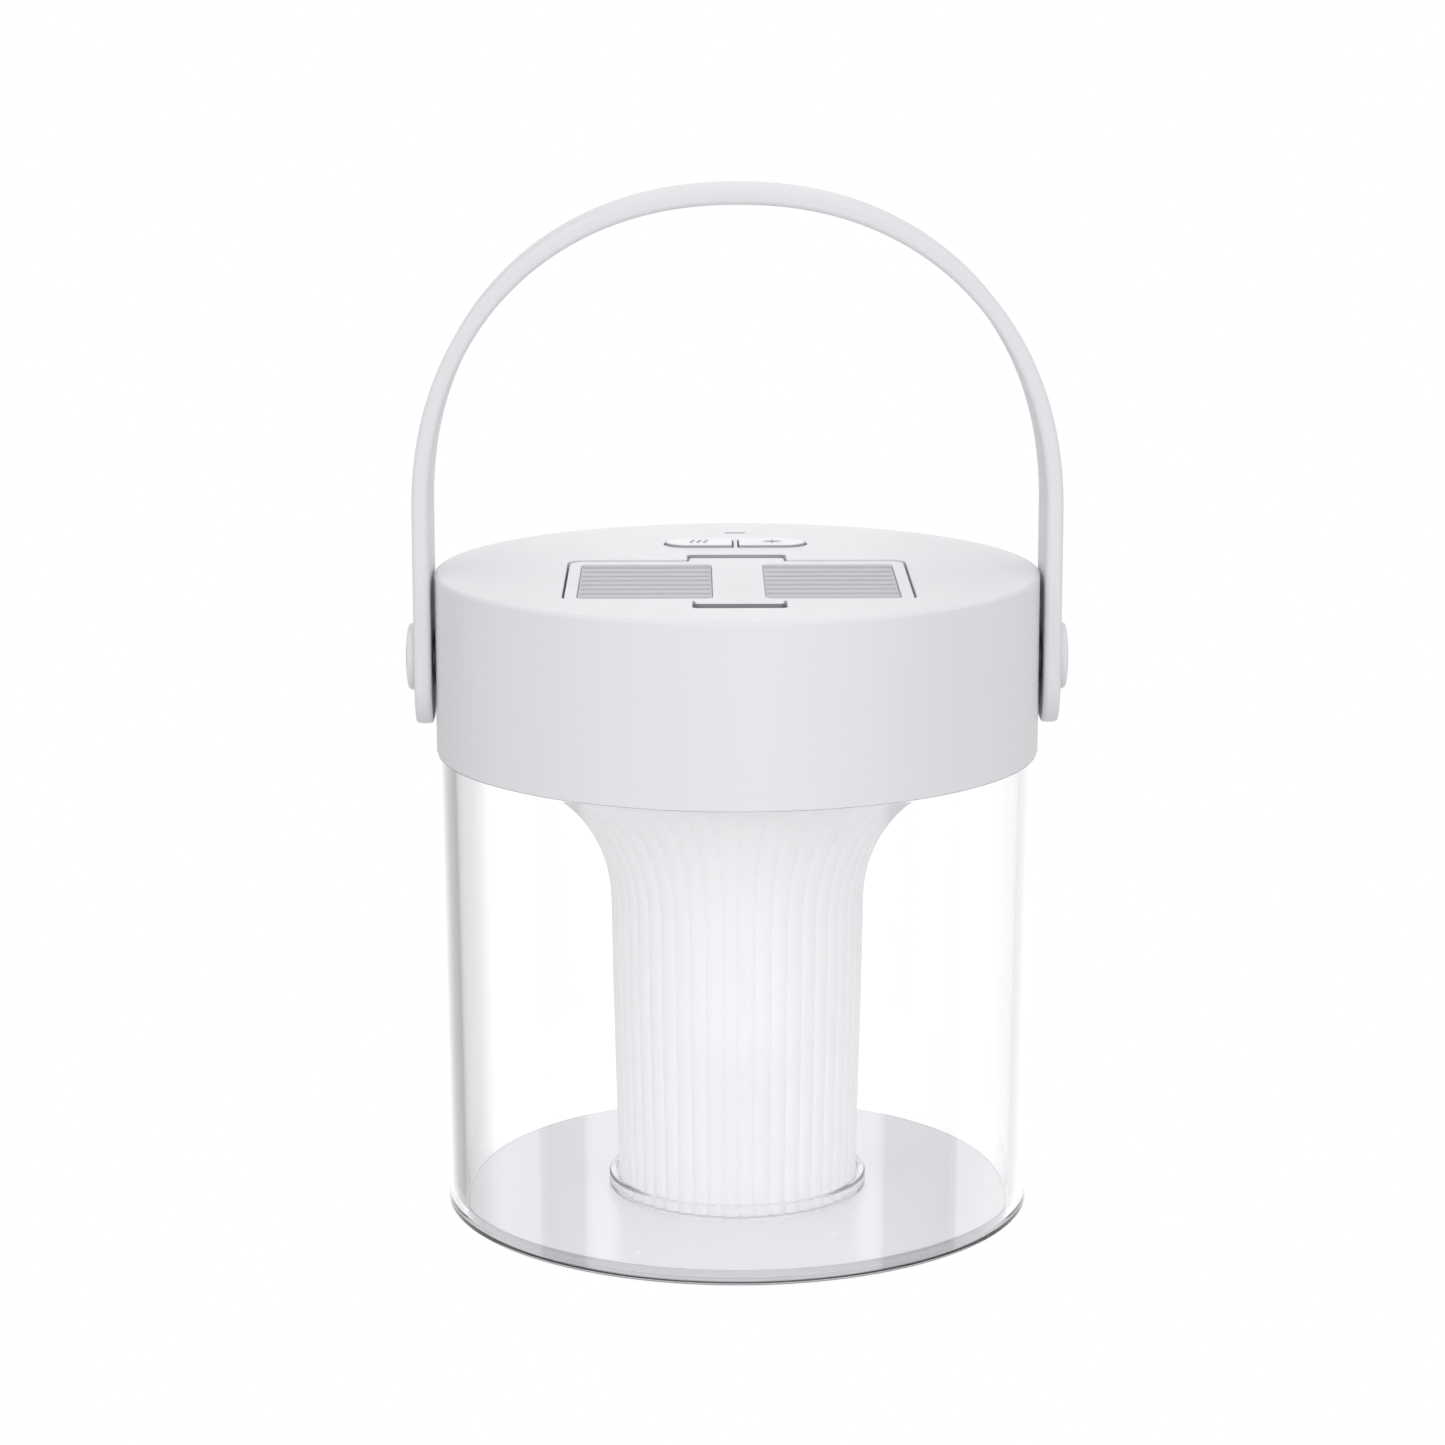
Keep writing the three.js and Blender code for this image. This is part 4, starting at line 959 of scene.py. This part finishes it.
def lid_frame():
    front = LID_LOW.y
    back = LID_HIGH.y
    c = LID_CORNER
    outline = rounded([
        (-FRONT_TAB_X, front, 0.9), (FRONT_TAB_X, front, 0.9), (FRONT_TAB_X, LID_Y0, 0.4),
        (LID_HALF_X, LID_Y0, c), (LID_HALF_X, LID_Y1, c),
        (BACK_TAB_X, LID_Y1, 0.4), (BACK_TAB_X, back, 0.9),
        (-BACK_TAB_X, back, 0.9), (-BACK_TAB_X, LID_Y1, 0.4),
        (-LID_HALF_X, LID_Y1, c), (-LID_HALF_X, LID_Y0, c), (-FRONT_TAB_X, LID_Y0, 0.4),
    ], 8)
    lid = slab("lid_cover", outline, LID_LOW.z, LID_HIGH.z, 0.1, 0.2)
    under = LID_HIGH.z - TAB_THICK
    cutters = [
        brick(-12, 12, front - 1, LID_Y0 - 0.2, LID_LOW.z - 1, under),
        brick(-12, 12, LID_Y1 + 0.2, back + 1, LID_LOW.z - 1, under),
    ]
    for x0, x1 in ((WINDOW_X0, WINDOW_X1), (-WINDOW_X1, -WINDOW_X0)):
        outline = rectangle(x0, x1, WINDOW_Y0, WINDOW_Y1, 1.2, 6)
        cutters.append(opening(outline, LID_LOW.z - 1, LID_HIGH.z, 0.12))
    combine(lid, "DIFFERENCE", cutters)
    even_shading(lid)
    show(lid, "vent_lid", "lid_plastic", M_LID, "lid_frame")
    tab = rectangle(-FRONT_TAB_X, FRONT_TAB_X, front, LID_Y0 + 1, 0.9, 8)
    # a dark band on the white tab's front face: painted shade in the finger pocket
    face = band("front_tab_shade", grown(tab, LINER), under + 0.1, LID_HIGH.z - 0.04)
    combine(face, "DIFFERENCE", [brick(-20, 20, LID_Y0 - 0.4, FAR, UNDER_TOP, OVER_TOP)])
    show(face, "vent_lid", "grille_plastic", M_SHADE)
    # a grey band on the back finger pocket's white wall: painted shade in the groove behind the back tab
    wall = band("back_groove_shade", back_pocket(), under, HEAD_Z1 - 0.12)
    combine(wall, "DIFFERENCE", [brick(-20, 20, -FAR, LID_Y1 + 1.5, UNDER_TOP, OVER_TOP)])
    show(wall, "lantern", "grille_plastic", M_SIDE_PAINTED_SHADE)


def grille(word):
    low, high = span(f"lid_grille_{word}")
    side = 1 if word == "right" else -1
    near, far = sorted((side * (WINDOW_X0 + HAIRLINE), side * (WINDOW_X1 - HAIRLINE)))
    outline = rectangle(near, far, WINDOW_Y0 + HAIRLINE, WINDOW_Y1 - GAP, 1.2)
    insert = slab(f"louvre_{word}", outline, low.z, high.z, 0.05, 0.12)
    flange = brick(low.x, high.x, low.y, high.y, low.z, low.z + 0.9)
    combine(insert, "UNION", [flange])
    slots = []
    for i in range(SLOT_COUNT):
        y = SLOT_FIRST - i * SLOT_PITCH
        cut = rectangle(near + 0.4, far - 0.4, y - SLOT_WIDTH / 2, y + SLOT_WIDTH / 2, 0.35, 4)
        slots.append(opening(cut, low.z - 1, high.z, 0.3))
    combine(insert, "DIFFERENCE", [merged(slots)])
    even_shading(insert)
    show(insert, "vent_lid", "grille_plastic", M_GRILLE, f"lid_grille_{word}")


# ---- buttons ------------------------------------------------------------------------------------------
STEM_X = 6.3 # each button's stem and symbol, from the middle
STEM_R = 1.8
KEY_FOOT = 0.4 # how far the key's flange lies above the stem's foot
FLANGE_THICK = 0.9
SYMBOL_RISE = 0.05
WAVE_PITCH = 1.15
WAVE_SWING = 0.28
WAVE_LENGTH = 3.0
SUN_R = 0.85
SUN_RAY = (1.2, 1.45, 1.7) # distances from the sun's centre along each ray


def stroke(path, width):
    """The outline of a line drawn with a round pen, as a closed loop."""
    half = width / 2
    left, right = [], []
    for i, point in enumerate(path):
        here = Vector(point)
        along = (Vector(path[min(i + 1, len(path) - 1)]) - Vector(path[max(i - 1, 0)])).normalized()
        normal = Vector((along.y, -along.x)) * half
        right.append(tuple(here + normal))
        left.append(tuple(here - normal))
    return right + list(reversed(left))


def heat_symbol(x, y, z):
    """Three rising waves."""
    waves = []
    for k in (-1, 0, 1):
        path = []
        for i in range(17):
            t = i / 16 - 0.5
            path.append((x + k * WAVE_PITCH + WAVE_SWING * math.sin(2 * math.pi * t), y + WAVE_LENGTH * t))
        waves.append(slab("heat_symbol", stroke(path, 0.38), z, z + SYMBOL_RISE, 0, 0.02))
    return merged(waves)


def sun_symbol(x, y, z):
    """A disc with eight rays."""
    parts = [slab("light_symbol", arc(x, y, SUN_R, 0, 345, 23), z, z + SYMBOL_RISE, 0, 0.02)]
    for k in range(8):
        a = math.pi * k / 4
        path = [(x + r * math.cos(a), y + r * math.sin(a)) for r in SUN_RAY]
        parts.append(slab("ray", stroke(path, 0.32), z, z + SYMBOL_RISE, 0, 0.02))
    return merged(parts)


def button(word, side):
    low, high = span(f"{word}_button")
    foot = low.z + KEY_FOOT
    key = slab(f"{word}_key", pill(), foot, high.z, 0.05, 0.35)
    near, far = sorted((side * -20, side * BUTTON_SPLIT))
    lip = slab("cutter", pill(BUTTON_LIP), foot, foot + FLANGE_THICK, 0.05, 0.05)
    combine(key, "UNION", [lip])
    combine(key, "DIFFERENCE", [brick(near, far, 0, FAR, UNDER_TOP, OVER_TOP)])
    combine(key, "UNION", [bar(side * STEM_X, BUTTON_Y, STEM_R, low.z, low.z + 1, 48)])
    even_shading(key)
    show(key, f"{word}_button", "button_plastic", M_BUTTON, f"{word}_button")
    # a grey band round the white key's side: painted shade for the side faces that stand in shade
    side_band = band(f"{word}_key_side", pill(LINER), HEAD_Z1 - 1, high.z - 0.12)
    combine(side_band, "DIFFERENCE", [brick(near, far, 0, FAR, UNDER_TOP, OVER_TOP)])
    show(side_band, f"{word}_button", "grille_plastic", M_SIDE_PAINTED_SHADE)
    draw = heat_symbol if word == "heat" else sun_symbol
    symbol = draw(side * STEM_X, BUTTON_Y, high.z - 0.01)
    symbol.name = f"{word}_symbol"
    show(symbol, f"{word}_button", "grille_plastic", M_PRINT)


def indicator():
    z1 = INDICATOR_HIGH.z
    low_y, high_y = INDICATOR_Y - LENS_HALF_Y, INDICATOR_Y + LENS_HALF_Y
    outline = rectangle(-LENS_HALF_X, LENS_HALF_X, low_y, high_y, 0.2, 4)
    lens = slab("indicator_lens", outline, INDICATOR_LOW.z, z1, 0.05, 0.1)
    show(lens, "lantern", "indicator_lens", M_LENS, "indicator_window")


# ---- CAD nodes that keep their shape --------------------------------------------------------------------
KEPT = {
    M_BOARD: ["main_board", "led_board"],
    M_SCREW: ["pivot_screw_left", "pivot_screw_right", "clamp_screw", "tray_screw_left", "tray_screw_right"]
    + [f"head_screw_{i}" for i in range(1, 5)] + [f"board_screw_{i}" for i in range(1, 5)],
    M_SHEET: ["usb_socket", "heater_clamp"],
    M_WASHER: ["pivot_washer_left", "pivot_washer_right"],
    M_CERAMIC: ["ptc_element_left", "ptc_element_right"],
    M_MAT: ["repellent_mat_left", "repellent_mat_right"],
    M_SWITCH: ["heat_switch", "light_switch"],
    M_WRAP: ["battery_pack"],
    M_TRAY: ["heater_tray"],
    M_ALUMINIUM: ["heater_plate"],
}


def dress_kept_nodes():
    for material, names in KEPT.items():
        for name in names:
            node = frame["nodes"][name]
            node.data.materials.clear()
            node.data.materials.append(material)
            softened = node.modifiers.new("edges", "BEVEL")
            softened.width = 0.12 * MM
            softened.segments = 2
            softened.limit_method = "ANGLE"
            softened.angle_limit = math.radians(40)


# ---- stage --------------------------------------------------------------------------------------------
CAMERA_REACH = 0.6427 # from the lantern's axis, on plan
CAMERA_HEIGHT = 0.2142
CAMERA_TURN = 0.7 # degrees round to the left of straight ahead
CAMERA_PITCH = 11.68 # degrees downwards
CAMERA_LENS = 98.03
CAMERA_SHIFT_X = -0.01022


def camera():
    data = bpy.data.cameras.new("camera")
    data.lens = CAMERA_LENS
    data.sensor_width = 36
    data.shift_x = CAMERA_SHIFT_X
    data.clip_start = 0.01
    eye = bpy.data.objects.new("camera", data)
    turn = math.radians(CAMERA_TURN)
    eye.location = (-CAMERA_REACH * math.sin(turn), -CAMERA_REACH * math.cos(turn), CAMERA_HEIGHT)
    eye.rotation_euler = (math.radians(90 - CAMERA_PITCH), 0, -turn)
    bpy.context.scene.collection.objects.link(eye)
    bpy.context.scene.camera = eye


OVERHEAD = 1.05 # brightness straight above
DARKEST = 0.3 # the gaps' brightness for all but the clear acrylic's mirror reflections
JAR_SHINE = 2.0 # how much brighter the surroundings look to those reflections
FLOOR_BOUNCE = 0.6 # glow of the floor round the lantern, under its rim, and under its base
FOOT_GLOW = 0.5
UNDER_GLOW = 0.17
FLOOR_REACH = 4000

# The surroundings by azimuth: degrees round from the front, positive to the right, and how bright each is.
SURROUNDINGS = [
    (-180, 1.2), (-172, 1.15), (-167, 0.9), (-159, 0.7), (-147, 0.42), (-122, 0.45), (-110, 0.85),
    (-85, 0.85),
    (-83, 0.0), (-63, 0.0), (-61, 1.15), (57, 1.15), (59, 0.0), (94, 0.0), (96, 0.85), (120, 0.9),
    (133, 0.75), (147, 0.75), (160, 0.95), (171, 1.15), (180, 1.2),
]


def maths(tree, operation, a, b=None):
    node = tree.nodes.new("ShaderNodeMath")
    node.operation = operation
    for socket, value in zip(node.inputs, (a, b)):
        if value is None:
            continue
        if isinstance(value, (int, float)):
            socket.default_value = value
        else:
            tree.links.new(value, socket)
    return node.outputs[0]


def level_by_azimuth(tree, vector):
    """How bright the surroundings are in the direction that a vector points, looking only at its X and Y."""
    split = tree.nodes.new("ShaderNodeSeparateXYZ")
    tree.links.new(vector, split.inputs[0])
    forwards = maths(tree, "MULTIPLY", split.outputs["Y"], -1)
    turn = maths(tree, "ARCTAN2", split.outputs["X"], forwards)
    place = maths(tree, "ADD", maths(tree, "DIVIDE", turn, 2 * math.pi), 0.5)
    node = tree.nodes.new("ShaderNodeValToRGB")
    tree.links.new(place, node.inputs[0])
    ramp = node.color_ramp
    while len(ramp.elements) < len(SURROUNDINGS):
        ramp.elements.new(0.5)
    for element, (degrees, level) in zip(ramp.elements, SURROUNDINGS):
        element.position = degrees / 360 + 0.5
        element.color = (level, level, level * 1.01, 1)
    return node.outputs["Color"], split.outputs["Z"]


def mix_colour(tree, factor, first, second):
    node = tree.nodes.new("ShaderNodeMix")
    node.data_type = "RGBA"
    for socket, value in ((node.inputs[0], factor), (node.inputs[6], first), (node.inputs[7], second)):
        if isinstance(value, tuple):
            socket.default_value = value
        else:
            tree.links.new(value, socket)
    return node.outputs[2]


def world():
    """Soft studio surroundings: a wide panel in front, a white backdrop behind, and darker gaps between."""
    place = bpy.data.worlds.new("studio")
    bpy.context.scene.world = place
    place.use_nodes = True
    tree = place.node_tree
    direction = tree.nodes.new("ShaderNodeTexCoord")
    around, height = level_by_azimuth(tree, direction.outputs["Generated"])
    up = tree.nodes.new("ShaderNodeMapRange")
    tree.links.new(height, up.inputs["Value"])
    up.inputs["From Min"].default_value = 0.5
    up.inputs["From Max"].default_value = 0.85
    lit = mix_colour(tree, up.outputs[0], around, (OVERHEAD, OVERHEAD, OVERHEAD, 1))
    rays = tree.nodes.new("ShaderNodeLightPath")
    mirrored = maths(tree, "MULTIPLY", rays.outputs["Is Singular Ray"], rays.outputs["Is Reflection Ray"])
    filled = mix_colour(tree, maths(tree, "SUBTRACT", 1.0, mirrored), lit, (DARKEST, DARKEST, DARKEST, 1))
    filled.node.blend_type = "LIGHTEN"
    sky = tree.nodes["Background"]
    tree.links.new(mix_colour(tree, rays.outputs["Is Camera Ray"], filled, (1, 1, 1, 1)), sky.inputs["Color"])
    boost = maths(tree, "MULTIPLY", mirrored, JAR_SHINE - 1)
    tree.links.new(maths(tree, "ADD", boost, 1.0), sky.inputs["Strength"])


def floor_disc(name, inner, outer, glow, seen):
    """A ring of floor, plain white to the camera. Glass and glossy faces pass over one that isn't seen."""
    bm = bmesh.new()
    rings = []
    for r in (inner, outer):
        rings.append([bm.verts.new((x, y, 0)) for x, y in arc(0, 0, r, 0, 357.5, 143)])
    for i in range(144):
        j = (i + 1) % 144
        bm.faces.new((rings[0][i], rings[1][i], rings[1][j], rings[0][j]))
    disc = new_piece(name, bm)
    material = bpy.data.materials.new(name)
    material.use_nodes = True
    tree = material.node_tree
    paper = tree.nodes["Principled BSDF"]
    paper.inputs["Base Color"].default_value = (0.75, 0.75, 0.76, 1)
    paper.inputs["Roughness"].default_value = 0.9
    paper.inputs["Emission Color"].default_value = (1, 1, 1.01, 1)
    paper.inputs["Emission Strength"].default_value = glow
    if not seen:
        paper.inputs["Base Color"].default_value = (0, 0, 0, 1)
    white = tree.nodes.new("ShaderNodeEmission")
    rays = tree.nodes.new("ShaderNodeLightPath")
    mix = tree.nodes.new("ShaderNodeMixShader")
    tree.links.new(rays.outputs["Is Camera Ray"], mix.inputs[0])
    tree.links.new(paper.outputs[0], mix.inputs[1])
    tree.links.new(white.outputs[0], mix.inputs[2])
    tree.links.new(mix.outputs[0], tree.nodes["Material Output"].inputs["Surface"])
    disc.data.materials.append(material)
    disc.visible_glossy = seen
    disc.visible_transmission = seen


def floor():
    foot = BASE_HIGH.x + GAP
    rim = JAR_HIGH.x + 1
    floor_disc("floor_under", 1, foot, UNDER_GLOW, True)
    floor_disc("floor_foot", foot, rim, FOOT_GLOW, True)
    floor_disc("floor_around", rim, FLOOR_REACH, FLOOR_BOUNCE, False)


def panel(name, place, size, power):
    """A soft lamp facing the lantern's head. It lights, but doesn't show in the clear jar."""
    data = bpy.data.lights.new(name, "AREA")
    data.shape = "RECTANGLE"
    data.size, data.size_y = size
    data.energy = power
    lamp = bpy.data.objects.new(name, data)
    lamp.location = place
    aim = Vector((0, 0, HEAD_Z1 * MM)) - lamp.location
    lamp.rotation_euler = aim.to_track_quat("-Z", "Y").to_euler()
    lamp.visible_camera = False
    lamp.visible_transmission = False
    bpy.context.scene.collection.objects.link(lamp)


def lamps():
    panel("rear_panel", (0, 0.45, 0.185), (0.10, 0.06), 0.025)
    panel("front_panel", (0.12, -1.0, 0.12), (0.25, 0.25), 1.2)


head_shell()
head_floor()
clear_jar()
base_plate()
diffuser()
carry_handle()
lid_frame()
grille("left")
grille("right")
button("heat", -1)
button("light", 1)
indicator()
dress_kept_nodes()
camera()
world()
floor()
lamps()
bpy.context.scene.view_settings.view_transform = "Standard"
